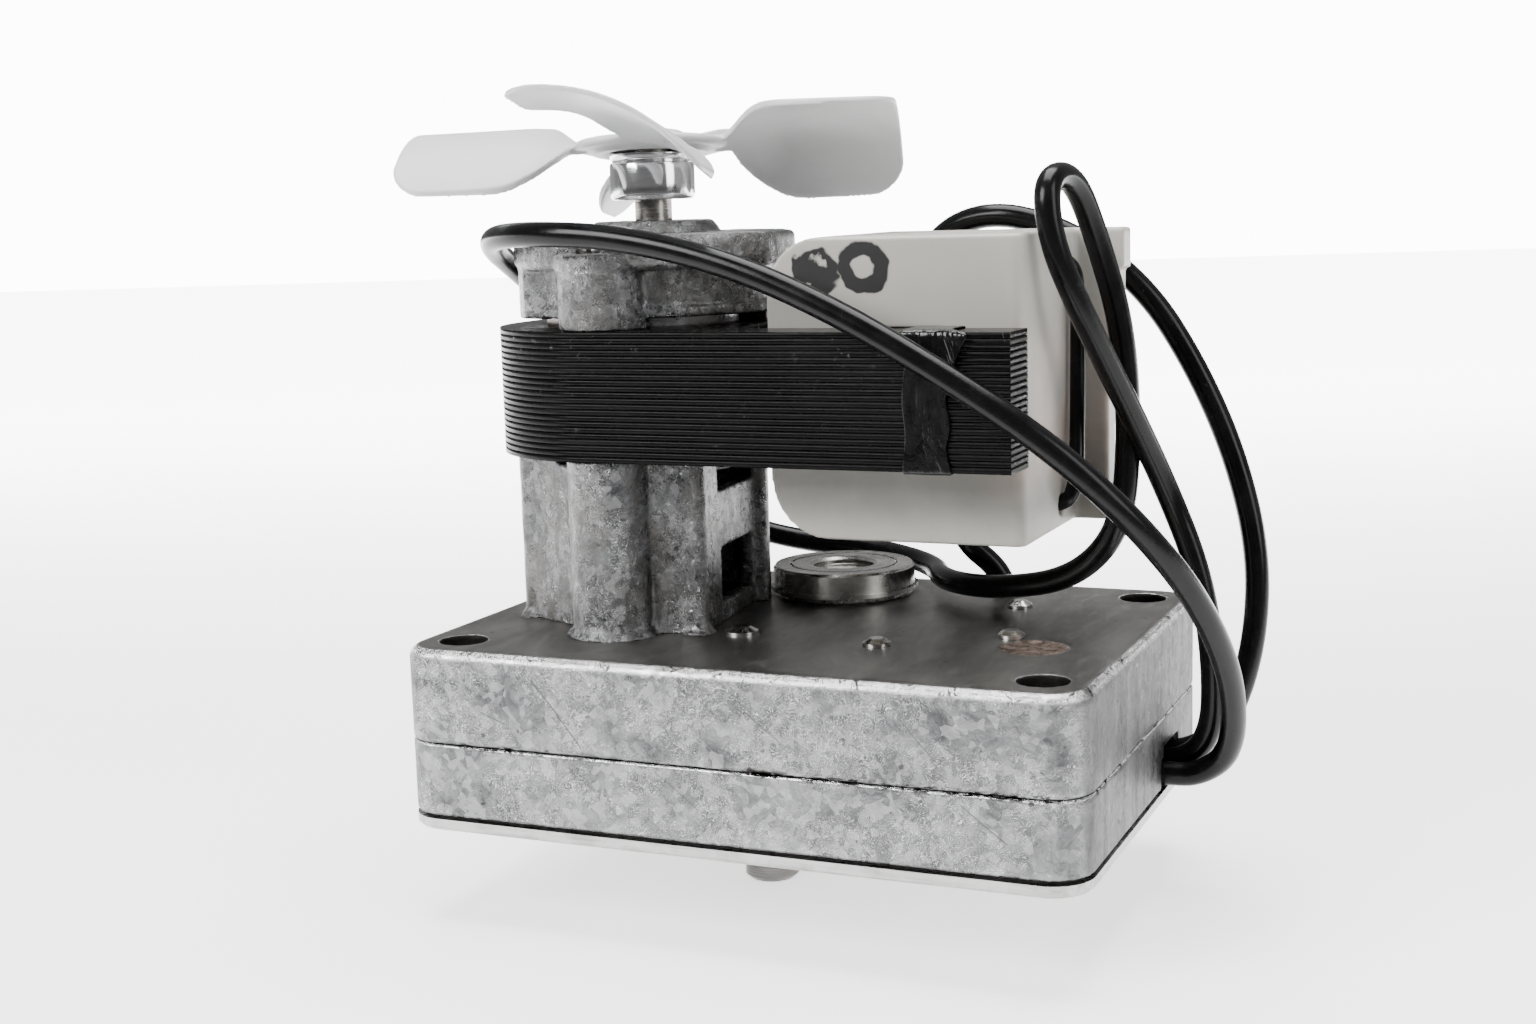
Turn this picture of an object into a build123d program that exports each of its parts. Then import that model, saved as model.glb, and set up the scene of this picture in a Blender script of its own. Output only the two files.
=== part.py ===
from build123d import *
import math
import os

os.makedirs("parts", exist_ok=True)

# ---------------------------------------------------------------- dimensions
# Frame: origin at the centre of the gearbox's mounting face (underside of the
# base plate), +Z up along the motor shaft, +X along the gearbox's long side,
# -Y is the front.
BOX_W, BOX_D = 77.0, 54.0          # gearbox footprint
CORNER_R = 4.5
WALL = 2.4
PLATE_T = 1.3
GASKET_T = 0.3
SPLIT_Z = 9.8                      # parting line of the two castings
TOP_Z = 20.25
CEIL_Z = 18.15
TOP_FILLET = 1.4
HOLE_X, HOLE_Y = 33.0, 21.3        # corner holes, half spacing
HOLE_R, HOLE_TOP_R = 2.15, 2.55

AX = -18.3                         # motor axis, x (y = 0)
STACK_Z0, LAM_N, LAM_T = 39.9, 22, 0.64
STACK_Z1 = STACK_Z0 + LAM_N * LAM_T
STACK_XL, STACK_XR, STACK_HD = -35.6, 29.0, 18.0
LEG_IN = 12.0                      # inner faces of the two legs
POST_Y, POST_R = 13.2, 4.6
UP_POST_R = 5.0
SHAFT_R = 2.1
ROTOR_R, BORE_R = 9.7, 10.05
LEAD_D = 2.7

nodes = {}


def put(name, shape):
    nodes[name] = shape


def cyl(x, y, z0, z1, r):
    return Pos(x, y, (z0 + z1) / 2) * Cylinder(r, z1 - z0)


def cone(x, y, z0, z1, r0, r1):
    return Pos(x, y, (z0 + z1) / 2) * Cone(r0, r1, z1 - z0)


def block(x0, x1, y0, y1, z0, z1):
    return Pos((x0 + x1) / 2, (y0 + y1) / 2, (z0 + z1) / 2) * Box(x1 - x0, y1 - y0, z1 - z0)


def rbox(w, d, z0, z1, r, x=0.0, y=0.0):
    return Pos(x, y, z0) * extrude(RectangleRounded(w, d, r), z1 - z0)


def tube(x, y, z0, z1, ro, ri):
    return cyl(x, y, z0, z1, ro) - cyl(x, y, z0 - 1, z1 + 1, ri)


def poly(pts, z0, z1):
    return Pos(0, 0, z0) * extrude(make_face(Polyline(*pts, close=True)), z1 - z0)


def wall(p, q, t, z0, z1):
    """A straight wall of thickness t between two points in plan."""
    dx, dy = q[0] - p[0], q[1] - p[1]
    L = math.hypot(dx, dy)
    nx, ny = -dy / L * t / 2, dx / L * t / 2
    return poly([(p[0] + nx, p[1] + ny), (q[0] + nx, q[1] + ny),
                 (q[0] - nx, q[1] - ny), (p[0] - nx, p[1] - ny)], z0, z1)


# ---------------------------------------------------------------- gear train
PRESS_ANGLE = math.radians(20)


def inv(a):
    return math.tan(a) - a


def gear_face(z, m, add, ded, phase, backlash):
    """Involute gear outline, one tooth centred at angle phase."""
    rp = m * z / 2
    rb = rp * math.cos(PRESS_ANGLE)
    ra, rf = rp + add * m, rp - ded * m
    half = (math.pi * m / 2 - backlash) / (m * z)
    def psi(r):
        a = math.acos(min(1.0, rb / r))
        return half + inv(PRESS_ANGLE) - inv(a)
    r0 = max(rb, rf) + 0.002
    radii = [r0 + (ra - r0) * k / 3 for k in range(4)]
    side = [(r, psi(r)) for r in radii]
    if rf < rb:
        side = [(rf, psi(r0))] + side
    pts = []
    for k in range(z):
        c = phase + 2 * math.pi * k / z
        for r, a in side:
            pts.append((r * math.cos(c - a), r * math.sin(c - a)))
        for r, a in reversed(side):
            pts.append((r * math.cos(c + a), r * math.sin(c + a)))
    return make_face(Polyline(*pts, close=True))


def gear(x, y, z0, z1, z, m, phase, pinion, backlash):
    add, ded = (1.0, 1.0) if pinion else (0.7, 1.3)
    return Pos(x, y, z0) * extrude(gear_face(z, m, add, ded, phase, backlash), z1 - z0)


# stage: module, pinion teeth, gear teeth, direction from pinion to gear (deg)
STAGES = [
    (0.5, 12, 55, -34.82),
    (0.5, 15, 51, -5.38),
    (0.5, 16, 43, 31.83),
    (0.5, 20, 44, 103.1),
    (0.6, 12, 23, 167.7),
    (0.7, 15, 22, 173.4),
    (0.8, 11, 30, 257.75),
]
LEVEL_TOP, LEVEL_PITCH, FACE_W = 17.8, 2.2, 1.9
axes = [(AX, 0.0)]
for m, zp, zg, ang in STAGES:
    d = m * (zp + zg) / 2
    x, y = axes[-1]
    axes.append((x + d * math.cos(math.radians(ang)), y + d * math.sin(math.radians(ang))))
ratios = [1.0]
for m, zp, zg, ang in STAGES:
    ratios.append(-ratios[-1] * zp / zg)
print("axes", [(round(a, 3), round(b, 3)) for a, b in axes])
print("ratios", ratios)


def level(k):
    """Bottom and top of gear level k (1 is the top one)."""
    t = LEVEL_TOP - (k - 1) * LEVEL_PITCH
    return t - FACE_W, t


PIN_R, PIN_HOLE_R = 1.25, 1.30
BL = 0.07


def stage_gear(k):
    """The driven gear of stage k (1..7), with a tooth space on the line of centres."""
    m, zp, zg, ang = STAGES[k - 1]
    x, y = axes[k]
    z0, z1 = level(k)
    ph = math.radians(ang) + math.pi + math.pi / zg
    return gear(x, y, z0, z1, zg, m, ph, False, BL)


def stage_pinion(k, z0, z1):
    """The driving pinion of stage k, a tooth on the line of centres."""
    m, zp, zg, ang = STAGES[k - 1]
    x, y = axes[k - 1]
    return gear(x, y, z0, z1, zp, m, math.radians(ang), True, BL)


# motor pinion
PIN_SHAFT_R = 1.5
put("motor_pinion", stage_pinion(1, 15.7, 18.6) - cyl(AX, 0, 15, 19, PIN_SHAFT_R))
# compound gears 1..6
for k in range(1, 7):
    x, y = axes[k]
    zg0, zg1 = level(k)
    zp0, _ = level(k + 1)
    g = stage_gear(k)
    # lightening web: a shallow recess on the gear's top face
    m, zp, zg, ang = STAGES[k - 1]
    rg = m * zg / 2 - 1.3 * m
    hub_r = 3.0 if k < 6 else 4.8
    if rg - 1.4 > hub_r + 1.0:
        g = g - tube(x, y, zg1 - 0.5, zg1 + 1, rg - 1.2, hub_r)
    c = g + stage_pinion(k + 1, zp0, zg0)
    if k < 6:
        c = c - cyl(x, y, zp0 - 1, zg1 + 1, PIN_HOLE_R)
        put("gear_%d" % k, c)
    else:
        c = c - cyl(x, y, zp0 - 1, zg1 + 1, 2.6)
        put("gear_6", c)

OX, OY = axes[7]
SX, SY = axes[6]
OUT_R, OUT_END = 3.175, -10.7
OUT_J, OUT_STEP = 3.45, -0.4        # journal inside the gearbox, shoulder under the plate
z0, z1 = level(7)
put("output_gear", stage_gear(7) + cyl(OX, OY, z1, z1 + 2.2, 5.2)
    - cyl(OX, OY, z0 - 1, z1 + 5, OUT_J))
out = cyl(OX, OY, OUT_END, OUT_STEP, OUT_R)
out = chamfer(out.faces().sort_by(Axis.Z)[0].edges(), 0.5)
out = out + cyl(OX, OY, OUT_STEP, 11.0, OUT_J)
put("output_shaft", out)
BUSH_R = 5.0
put("output_bush", tube(OX, OY, 0.0, 2.2, BUSH_R, OUT_J + 0.04)
    + tube(OX, OY, PLATE_T + 0.02, 2.2, BUSH_R + 1.0, OUT_J + 0.04))

# cross shaft (last intermediate), carried by the ball bearing on the top
CR_TOP = 22.9
cross = cyl(SX, SY, 0.25, 9.2, 2.6) + cyl(SX, SY, 9.2, CR_TOP, 3.7)
cross = chamfer(cross.faces().sort_by(Axis.Z)[-1].edges(), 0.35)
put("cross_shaft", cross)
put("cross_shaft_bush", tube(SX, SY, 0.0, 2.1, 4.2, 2.64))

# ball bearing: rings with a ball groove, balls between
BR_Z0, BR_Z1, BR_R = 20.85, 23.75, 8.55
BALL_R, BALL_PR, BALL_N = 0.85, 6.35, 16
zc = (BR_Z0 + BR_Z1) / 2
groove = Pos(SX, SY, zc) * Torus(BALL_PR, BALL_R + 0.06)
outer = tube(SX, SY, BR_Z0, BR_Z1, BR_R, 6.5)
outer = chamfer(outer.edges().filter_by(GeomType.CIRCLE).sort_by(SortBy.RADIUS)[-2:], 0.3)
outer = outer + tube(SX, SY, BR_Z0, BR_Z0 + 0.5, BR_R + 0.35, 6.5)
put("bearing_outer_ring", outer - groove)
inner = tube(SX, SY, BR_Z0 + 0.1, BR_Z1, 6.2, 3.7)
inner = chamfer(inner.edges().filter_by(GeomType.CIRCLE).filter_by(lambda e: e.center().Z > 23 and e.radius < 5), 0.35)
put("bearing_inner_ring", inner - groove)
balls = [Pos(SX + BALL_PR * math.cos(2 * math.pi * i / BALL_N), SY + BALL_PR * math.sin(2 * math.pi * i / BALL_N), zc)
         * Sphere(BALL_R) for i in range(BALL_N)]
put("bearing_balls", Compound(children=balls))

# fixed gear pins, riveted into the top casting (heads stand on the top face)
def rivet(x, y, z_low, head_r):
    p = cyl(x, y, z_low, TOP_Z + 0.05, PIN_R)
    if z_low < 1:
        p = p + cone(x, y, z_low, z_low + 0.6, PIN_R + 0.6, PIN_R)
    h = cyl(x, y, TOP_Z, TOP_Z + 0.35, head_r)
    h = h + cone(x, y, TOP_Z + 0.35, TOP_Z + 0.8, head_r - 0.05, head_r * 0.5)
    return p + h


pins = [rivet(*axes[1], 12.2, 1.9), rivet(*axes[2], 0.1, 1.5), rivet(*axes[3], 0.1, 1.45),
        rivet(*axes[4], 0.1, 1.45),
        cyl(*axes[5], 0.1, 9.15, PIN_R) + cone(*axes[5], 0.1, 0.7, PIN_R + 0.6, PIN_R)]
put("gear_pins", Compound(children=pins))

# spacer tubes that hold each gear at its level
def spacer(k, z0, z1, r=2.2):
    x, y = axes[k]
    return tube(x, y, z0, z1, r, PIN_R)


sp = [spacer(1, 12.5, level(2)[0] - 0.12)]
for k, r in ((2, 2.2), (3, 1.55), (4, 2.2)):
    sp.append(spacer(k, level(k)[1] + 0.12, CEIL_Z, r))
    sp.append(spacer(k, PLATE_T, level(k + 1)[0] - 0.12))
sp.append(spacer(5, PLATE_T, level(6)[0] - 0.12))
put("gear_spacers", Compound(children=sp))

# ---------------------------------------------------------------- gearbox case
CAV_W, CAV_D = BOX_W - 2 * WALL, BOX_D - 2 * WALL
corners = [(sx * HOLE_X, sy * HOLE_Y) for sx in (-1, 1) for sy in (-1, 1)]


def cavity(z0, z1):
    c = rbox(CAV_W, CAV_D, z0, z1, CORNER_R - WALL + 0.8)
    for cx, cy in corners:
        c = c - cyl(cx, cy, z0 - 1, z1 + 1, 3.7)
        sx, sy = math.copysign(1, cx), math.copysign(1, cy)
        c = c - block(min(cx, cx + sx * 6), max(cx, cx + sx * 6), min(cy - sy * 2.2, cy + sy * 6), max(cy - sy * 2.2, cy + sy * 6), z0 - 1, z1 + 1)
        c = c - block(min(cx - sx * 2.2, cx + sx * 6), max(cx - sx * 2.2, cx + sx * 6), min(cy, cy + sy * 6), max(cy, cy + sy * 6), z0 - 1, z1 + 1)
    return c


top = rbox(BOX_W, BOX_D, SPLIT_Z, TOP_Z, CORNER_R)
top = fillet(top.faces().sort_by(Axis.Z)[-1].edges(), TOP_FILLET)
top = chamfer(top.faces().sort_by(Axis.Z)[0].edges(), 0.18)
top = top - cavity(SPLIT_Z - 1, CEIL_Z)
for cx, cy in corners:
    top = top - cyl(cx, cy, SPLIT_Z - 1, TOP_Z + 1, HOLE_R)
    top = top - cyl(cx, cy, TOP_Z - 4.2, TOP_Z + 1, HOLE_TOP_R)
for k in (1, 2, 3, 4):
    top = top - cyl(*axes[k], 15, TOP_Z + 1, PIN_R)
top = top - cyl(AX, 0, 15, TOP_Z + 1, 5.2)
top = top + tube(SX, SY, TOP_Z - 0.5, BR_Z0, 7.9, 5.6)
top = top - cyl(SX, SY, 15, TOP_Z + 2, 4.1)
top = top - cyl(28.1, -7.4, TOP_Z - 0.28, TOP_Z + 1, 3.7)
put("gearbox_top_case", top)

low = rbox(BOX_W, BOX_D, PLATE_T + GASKET_T, SPLIT_Z, CORNER_R)
low = chamfer(low.faces().sort_by(Axis.Z)[-1].edges(), 0.18)
low = chamfer(low.faces().sort_by(Axis.Z)[0].edges(), 0.3)
low = low - cavity(0, SPLIT_Z + 1)
for cx, cy in corners:
    low = low - cyl(cx, cy, 0, SPLIT_Z + 1, HOLE_R)
# lead window in the right wall, open at the bottom
WIN_Y0, WIN_Y1, WIN_Z = 6.6, 16.4, 6.3
win = block(BOX_W / 2 - 6, BOX_W / 2 + 2, WIN_Y0, WIN_Y1, 0, WIN_Z - 1.2) \
    + block(BOX_W / 2 - 6, BOX_W / 2 + 2, WIN_Y0 + 1.2, WIN_Y1 - 1.2, 0, WIN_Z)
low = low - win
put("gearbox_lower_case", low)

gas = rbox(BOX_W - 1.8, BOX_D - 1.8, PLATE_T, PLATE_T + GASKET_T, CORNER_R - 0.9) - cavity(0, 5)
for cx, cy in corners:
    gas = gas - cyl(cx, cy, 0, 5, HOLE_R + 0.15)
gas = gas - block(BOX_W / 2 - 6, BOX_W / 2 + 2, WIN_Y0, WIN_Y1, 0, 5)
put("plate_gasket", gas)

plate = rbox(BOX_W, BOX_D, 0, PLATE_T, CORNER_R)
plate = chamfer(plate.faces().sort_by(Axis.Z)[0].edges(), 0.35)
for cx, cy in corners:
    plate = plate - cyl(cx, cy, -1, 3, HOLE_R)
plate = plate - cyl(OX, OY, -1, 3, BUSH_R) - cyl(SX, SY, -1, 3, 4.2)
for k in (2, 3, 4, 5):
    plate = plate - cyl(*axes[k], -1, 3, PIN_R) - cone(*axes[k], -0.001, 0.75, PIN_R + 0.8, PIN_R)
put("base_plate", plate)

# ---------------------------------------------------------------- lower bracket
LB = [(-31.8, -7.2), (AX, -POST_Y), (-9.2, -10.7), (-11.2, 9.8), (AX, POST_Y), (-31.8, 7.2)]
LB_T = 1.7
lb = None
for i in range(6):
    p, q = LB[i], LB[(i + 1) % 6]
    w = wall(p, q, LB_T, TOP_Z, STACK_Z0)
    lb = w if lb is None else lb + w
# opening in the right wall near its foot, where the pinion can be reached
lb = lb - block(-12, -7, -4.6, 6.4, TOP_Z + 2.2, TOP_Z + 8.5)
for (bx, by), r in zip([LB[0], LB[2], LB[3], LB[5]], [1.2, 1.35, 1.2, 1.2]):
    lb = lb + cyl(bx, by, TOP_Z, STACK_Z0, r) + cone(bx, by, TOP_Z, TOP_Z + 0.9, r + 0.75, r)
lb = lb + cyl(-9.9, 8.3, TOP_Z, STACK_Z0, 1.15)
for s in (-1, 1):
    lb = lb + cyl(AX, s * POST_Y, TOP_Z, STACK_Z0, POST_R) + cone(AX, s * POST_Y, TOP_Z, TOP_Z + 1.1, POST_R + 0.9, POST_R)
# deck with the bearing seat
DECK0, DECK1 = 31.6, 33.6
deck = poly(LB, DECK0, DECK1)
lb = lb + deck + cyl(AX, 0, 28.6, 35.2, 6.6)
# foot flange inside the walls
lb = lb + (poly([(a * 1.0 + (0.0), b) for a, b in LB], TOP_Z, TOP_Z + 1.4) - cyl(AX, 0, TOP_Z - 1, TOP_Z + 3, 7.4))
lb = lb - cyl(AX, 0, 35.2, STACK_Z0 + 1, 10.6)
lb = lb - cyl(AX, 0, 24, 36, 3.2) - cyl(AX, 0, 30.0, 36, 4.55)
for s in (-1, 1):
    lb = lb - cyl(AX, s * POST_Y, TOP_Z - 1, STACK_Z0 + 1, 1.5)
put("lower_bracket", lb)

# ---------------------------------------------------------------- stack
def stack_plan(z0, z1):
    w = STACK_XR - STACK_XL
    s = Pos((STACK_XL + STACK_XR) / 2, 0, z0) * extrude(Rectangle(w, 2 * STACK_HD), z1 - z0)
    left = [e for e in s.edges().filter_by(Axis.Z) if e.center().X < 0]
    return fillet(left, 16.5)


def stack_cut(z0, z1):
    # rotor bore and the window for the coil
    c = cyl(AX, 0, z0, z1, BORE_R)
    c = c + block(-3.0, STACK_XR + 5, -LEG_IN, LEG_IN, z0, z1)
    c = c + block(AX, 0, -1.2, 1.2, z0, z1)
    # neck between the pole arcs and the coil window
    return c


stack = stack_plan(STACK_Z0, STACK_Z1)
ring_face = stack_plan(0, 1).faces().sort_by(Axis.Z)[0]
groove_ring = extrude(make_face(ring_face.outer_wire()), 0.10)
groove_ring = groove_ring - extrude(offset(make_face(ring_face.outer_wire()), -0.14), 0.10)
zb = groove_ring.bounding_box().min.Z
for i in range(1, LAM_N):
    stack = stack - Pos(0, 0, STACK_Z0 + i * LAM_T - 0.05 - zb) * groove_ring
stack = stack - stack_cut(STACK_Z0 - 1, STACK_Z1 + 1)
# shading rings: copper loops through two small holes in each pole
SHADE_R, SHADE_W = 11.9, 0.55
rings = []
for a0, a1 in ((33.0, 60.0), (213.0, 240.0)):
    p = [(AX + SHADE_R * math.cos(math.radians(a)), SHADE_R * math.sin(math.radians(a))) for a in (a0, a1)]
    dx, dy = p[1][0] - p[0][0], p[1][1] - p[0][1]
    L = math.hypot(dx, dy)
    ux, uy = dx / L * SHADE_W, dy / L * SHADE_W
    r = None
    for x, y in p:
        c = cyl(x, y, STACK_Z0 - 0.75, STACK_Z1 + 0.75, SHADE_W)
        r = c if r is None else r + c
        stack = stack - cyl(x, y, STACK_Z0 - 1, STACK_Z1 + 1, SHADE_W)
    for z0 in (STACK_Z0 - 0.85, STACK_Z1):
        r = r + wall((p[0][0] - ux, p[0][1] - uy), (p[1][0] + ux, p[1][1] + uy), 2 * SHADE_W, z0, z0 + 0.85)
    rings.append(r)
for s in (-1, 1):
    stack = stack - cyl(AX, s * POST_Y, STACK_Z0 - 1, STACK_Z1 + 1, 1.5)
put("stator_stack", stack)
put("shading_rings", Compound(children=rings))
for a0 in (46.5, 226.5):
    x, y = AX + SHADE_R * math.cos(math.radians(a0)), SHADE_R * math.sin(math.radians(a0))
    c = Pos(x, y, STACK_Z0 - 0.6) * Rot(0, 0, a0 + 90) * Box(8.2, 2.4, 1.3)
    nodes["lower_bracket"] = nodes["lower_bracket"] - c

# core bar through the coil, closing the frame between the two legs
BAR_X0, BAR_X1 = 9.0, 20.0
put("core_bar", block(BAR_X0, BAR_X1, -LEG_IN, LEG_IN, STACK_Z0, STACK_Z1))

# tape round the front leg
TAPE_X0, TAPE_X1, TAPE_T = 17.7, 22.5, 0.22
CASE_GAP = 0.3
tp = block(TAPE_X0, TAPE_X1, -STACK_HD - TAPE_T, -LEG_IN + TAPE_T, STACK_Z0 - TAPE_T, STACK_Z1 + TAPE_T) \
    - block(TAPE_X0 - 1, TAPE_X1 + 1, -STACK_HD, -LEG_IN, STACK_Z0, STACK_Z1)
tp = tp - block(BAR_X0 - 0.1, BAR_X1, -LEG_IN - 0.05, -LEG_IN + 1, STACK_Z0 - 0.02, STACK_Z1 + 0.02)
put("tape_strip", tp)

# ---------------------------------------------------------------- coil
CX0, CX1, CZ0, CZ1 = 0.5, 28.5, 31.5, 63.4
CY = LEG_IN - CASE_GAP
CT = 1.1
body = Pos((CX0 + CX1) / 2, 0, (CZ0 + CZ1) / 2) * Box(CX1 - CX0, 2 * CY, CZ1 - CZ0)
left_y = [e for e in body.edges().filter_by(Axis.Y) if e.center().X < 5]
body = fillet([e for e in left_y if e.center().Z > 50], 6.0)
body = fillet([e for e in body.edges().filter_by(Axis.Y) if e.center().X < 5 and e.center().Z < 40], 6.6)
body = fillet([e for e in body.edges().filter_by(Axis.Z) if e.center().X > 25], 1.2)
core = Pos((CX0 + CX1) / 2, 0, (CZ0 + CZ1) / 2) * Box(CX1 - CX0 - 2 * CT, 2 * CY - 2 * CT, CZ1 - CZ0 - 2 * CT)
core = fillet([e for e in core.edges().filter_by(Axis.Y) if e.center().X < 5], 5.0)
case = body - core
case = case - block(BAR_X0, BAR_X1, -20, 20, STACK_Z0, STACK_Z1)
# rear flange that stands out to the right, with a taller head
FL_Y0 = 8.2
wing = block(CX1 - 0.6, 32.2, FL_Y0, CY, CZ0, CZ1)
wing = wing + block(31, 33.9, FL_Y0, CY, 59.0, CZ1) + block(31, 33.3, FL_Y0, CY, 51.5, 59.5)
case = case + wing
# lead slot near the top of the right side and the lead hole near its foot
D_YT, D_YB = 4.8, 2.4
case = case - block(CX1 - 2, CX1 + 2, D_YT - 2.0, D_YT + 1.6, 59.3, 61.6)
case = case - Pos(CX1, D_YB, 33.9) * Rot(0, 90, 0) * Cylinder(1.1, 4)
put("coil_case", case)

BZ0, BZ1 = CZ0 + CT + 0.2, CZ1 - CT - 0.2
bx0, bx1 = CX0 + CT + 0.2, CX1 - CT - 0.2
BY = CY - CT
BT = 1.0
bob = block(BAR_X0 - BT, BAR_X1 + BT, -BY, BY, STACK_Z0 - BT, STACK_Z1 + BT)
for s in (-1, 1):
    f = block(bx0, bx1, min(s * BY, s * (BY - BT)), max(s * BY, s * (BY - BT)), BZ0, BZ1)
    f = fillet(f.edges().filter_by(Axis.Y), 5.2)
    bob = bob + f
bob = bob - block(BAR_X0, BAR_X1, -20, 20, STACK_Z0, STACK_Z1)
put("coil_bobbin", bob)
w = block(bx0 + 0.8, bx1 - 0.8, -BY + BT, BY - BT, BZ0 + 0.8, BZ1 - 0.8)
w = fillet(w.edges().filter_by(Axis.Y), 5.0)
w = w - block(BAR_X0 - BT, BAR_X1 + BT, -20, 20, STACK_Z0 - BT, STACK_Z1 + BT)
put("coil_winding", w)

# ---------------------------------------------------------------- upper bracket
UB_TOP, BOSS_TOP, POST_TOP = 64.0, 65.4, 62.2
UPY = 13.0
z_st = STACK_Z1
drum = cyl(AX, 0, 60.4, UB_TOP, 16.0)
drum = fillet(drum.faces().sort_by(Axis.Z)[-1].edges(), 0.7)
drum = chamfer(drum.faces().sort_by(Axis.Z)[0].edges(), 0.6)
ub = drum + cyl(AX, 0, 56.0, 61, 13.8) + tube(AX, 0, 55.1, 56.2, 14.2, 12.5)
ub = ub + ((tube(AX, 0, 54.9, 61, 15.6, 12.9)) & block(-40, -24.5, -11, 11, 54, 62))
ub = ub & block(-32.7, 5, -30, 30, 50, 70)
ub = ub + cyl(AX, 0, UB_TOP - 0.5, UB_TOP + 0.5, 7.4) + cone(AX, 0, UB_TOP + 0.5, BOSS_TOP, 7.4, 6.6)
for s in (-1, 1):
    ub = ub + cyl(AX, s * UPY, z_st, POST_TOP, UP_POST_R - 0.1)
    cap = cyl(AX, s * UPY, 60.4, POST_TOP, UP_POST_R + 0.2)
    cap = chamfer(cap.faces().sort_by(Axis.Z)[-1].edges(), 0.3)
    ub = ub + cap
# pockets: rotor end ring, retainer, bearing seat, shaft
ub = ub - cyl(AX, 0, 50, 57.9, 10.7) - cyl(AX, 0, 57, 59.2, 6.5)
ub = ub - cyl(AX, 0, 58, 63.3, 4.55) - cyl(AX, 0, 58, 70, 2.7) - cyl(AX, 0, 64.7, 66, 4.4)
for s in (-1, 1):
    ub = ub - cyl(AX, s * POST_Y, 50, 70, 1.5) - cyl(AX, s * POST_Y, 61.0, 70, 3.0)
for a0 in (46.5, 226.5):
    x, y = AX + SHADE_R * math.cos(math.radians(a0)), SHADE_R * math.sin(math.radians(a0))
    ub = ub - Pos(x, y, STACK_Z1 + 0.6) * Rot(0, 0, a0 + 90) * Box(8.2, 2.4, 1.5)
put("upper_bracket", ub)

# ---------------------------------------------------------------- rotor and bearings
cage_r, bars = 8.6, 17
core_r = cyl(AX, 0, STACK_Z0, STACK_Z1, ROTOR_R) - cyl(AX, 0, 30, 60, SHAFT_R)
cage = tube(AX, 0, STACK_Z0 - 2.4, STACK_Z0, 9.4, 6.6) + tube(AX, 0, STACK_Z1, STACK_Z1 + 2.4, 9.4, 6.6)
for i in range(bars):
    a = 2 * math.pi * i / bars
    x, y = AX + cage_r * math.cos(a), cage_r * math.sin(a)
    core_r = core_r - cyl(x, y, STACK_Z0 - 1, STACK_Z1 + 1, 0.7)
    cage = cage + cyl(x, y, STACK_Z0 - 0.5, STACK_Z1 + 0.5, 0.7)
put("rotor_core", core_r)
put("rotor_cage", cage)

sh = cyl(AX, 0, 18.7, 74.6, SHAFT_R) + cyl(AX, 0, 15.6, 18.8, PIN_SHAFT_R)
sh = chamfer(sh.faces().sort_by(Axis.Z)[-1].edges(), 0.3)
put("motor_shaft", sh)


def bearing(z0, z1, r):
    b = cyl(AX, 0, z0, z1, r)
    b = fillet(b.edges().filter_by(GeomType.CIRCLE), 0.9)
    return b - cyl(AX, 0, z0 - 1, z1 + 1, SHAFT_R + 0.04)


put("lower_bearing", bearing(30.0, 34.3, 4.55))
put("upper_bearing", bearing(59.3, 63.3, 4.55))
put("lower_bearing_retainer", tube(AX, 0, 35.2, 35.7, 6.2, 3.0))
put("upper_bearing_retainer", tube(AX, 0, 58.6, 59.2, 6.5, 3.0))
put("thrust_washers", Compound(children=[tube(AX, 0, 35.95, 36.6, 3.4, SHAFT_R), tube(AX, 0, 57.2, 57.9, 3.4, SHAFT_R)]))
put("lower_felt_ring", tube(AX, 0, 34.35, 35.15, 4.5, 2.6))

# long screws through the brackets and the stack
scr = []
for s in (-1, 1):
    c = cyl(AX, s * POST_Y, CEIL_Z + 0.25, 61.2, 1.5)
    h = cyl(AX, s * POST_Y, 61.0, 62.9, 2.7)
    h = fillet(h.faces().sort_by(Axis.Z)[-1].edges(), 0.5)
    h = h - block(AX - 0.35, AX + 0.35, s * POST_Y - 3, s * POST_Y + 3, 62.2, 64)
    scr.append(c + h)
put("motor_screws", Compound(children=scr))
for s in (-1, 1):
    nodes["gearbox_top_case"] = nodes["gearbox_top_case"] - cyl(AX, s * POST_Y, 15, 25, 1.5)

# ---------------------------------------------------------------- fan
HUB_Z0, HUB_Z1, HUB_R = 67.7, 73.0, 4.8
hub = cyl(AX, 0, HUB_Z0, HUB_Z1, HUB_R)
hub = fillet(hub.faces().sort_by(Axis.Z)[0].edges(), 0.45)
hub = hub - tube(AX, 0, 71.9, 72.15, HUB_R + 1, HUB_R - 0.15)
hub = hub - cyl(AX, 0, 60, 80, SHAFT_R)
put("fan_hub", hub)

FAN_Z, DISC_R, DISC_T = 73.75, 8.7, 1.1
BLADE_TIP, CHORD, PITCH, FAN_AZ = 28.2, 21.6, -22.2, 16.5
TILT, TILT_DIR = -5.5, 23.65
disc = cyl(0, 0, -DISC_T / 2, DISC_T / 2, DISC_R)
disc = fillet(disc.edges().filter_by(GeomType.CIRCLE), 0.35)
blade_plan = Pos(0, 0, -0.45) * extrude(
    fillet([v for v in make_face(Polyline((6.2, -1.7), (12.0, -CHORD / 2), (BLADE_TIP, -CHORD / 2),
                                          (BLADE_TIP, CHORD / 2), (12.0, CHORD / 2), (6.2, 1.7), close=True)).vertices()
            if v.X > 10], 3.2), 0.9)
fan = disc + cyl(0, 0, -1.1, 1.6, 3.4)
for k in range(4):
    fan = fan + Rot(0, 0, FAN_AZ + 90 * k) * Rot(PITCH, 0, 0) * blade_plan
fan = Pos(AX, 0, FAN_Z) * fan
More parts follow.
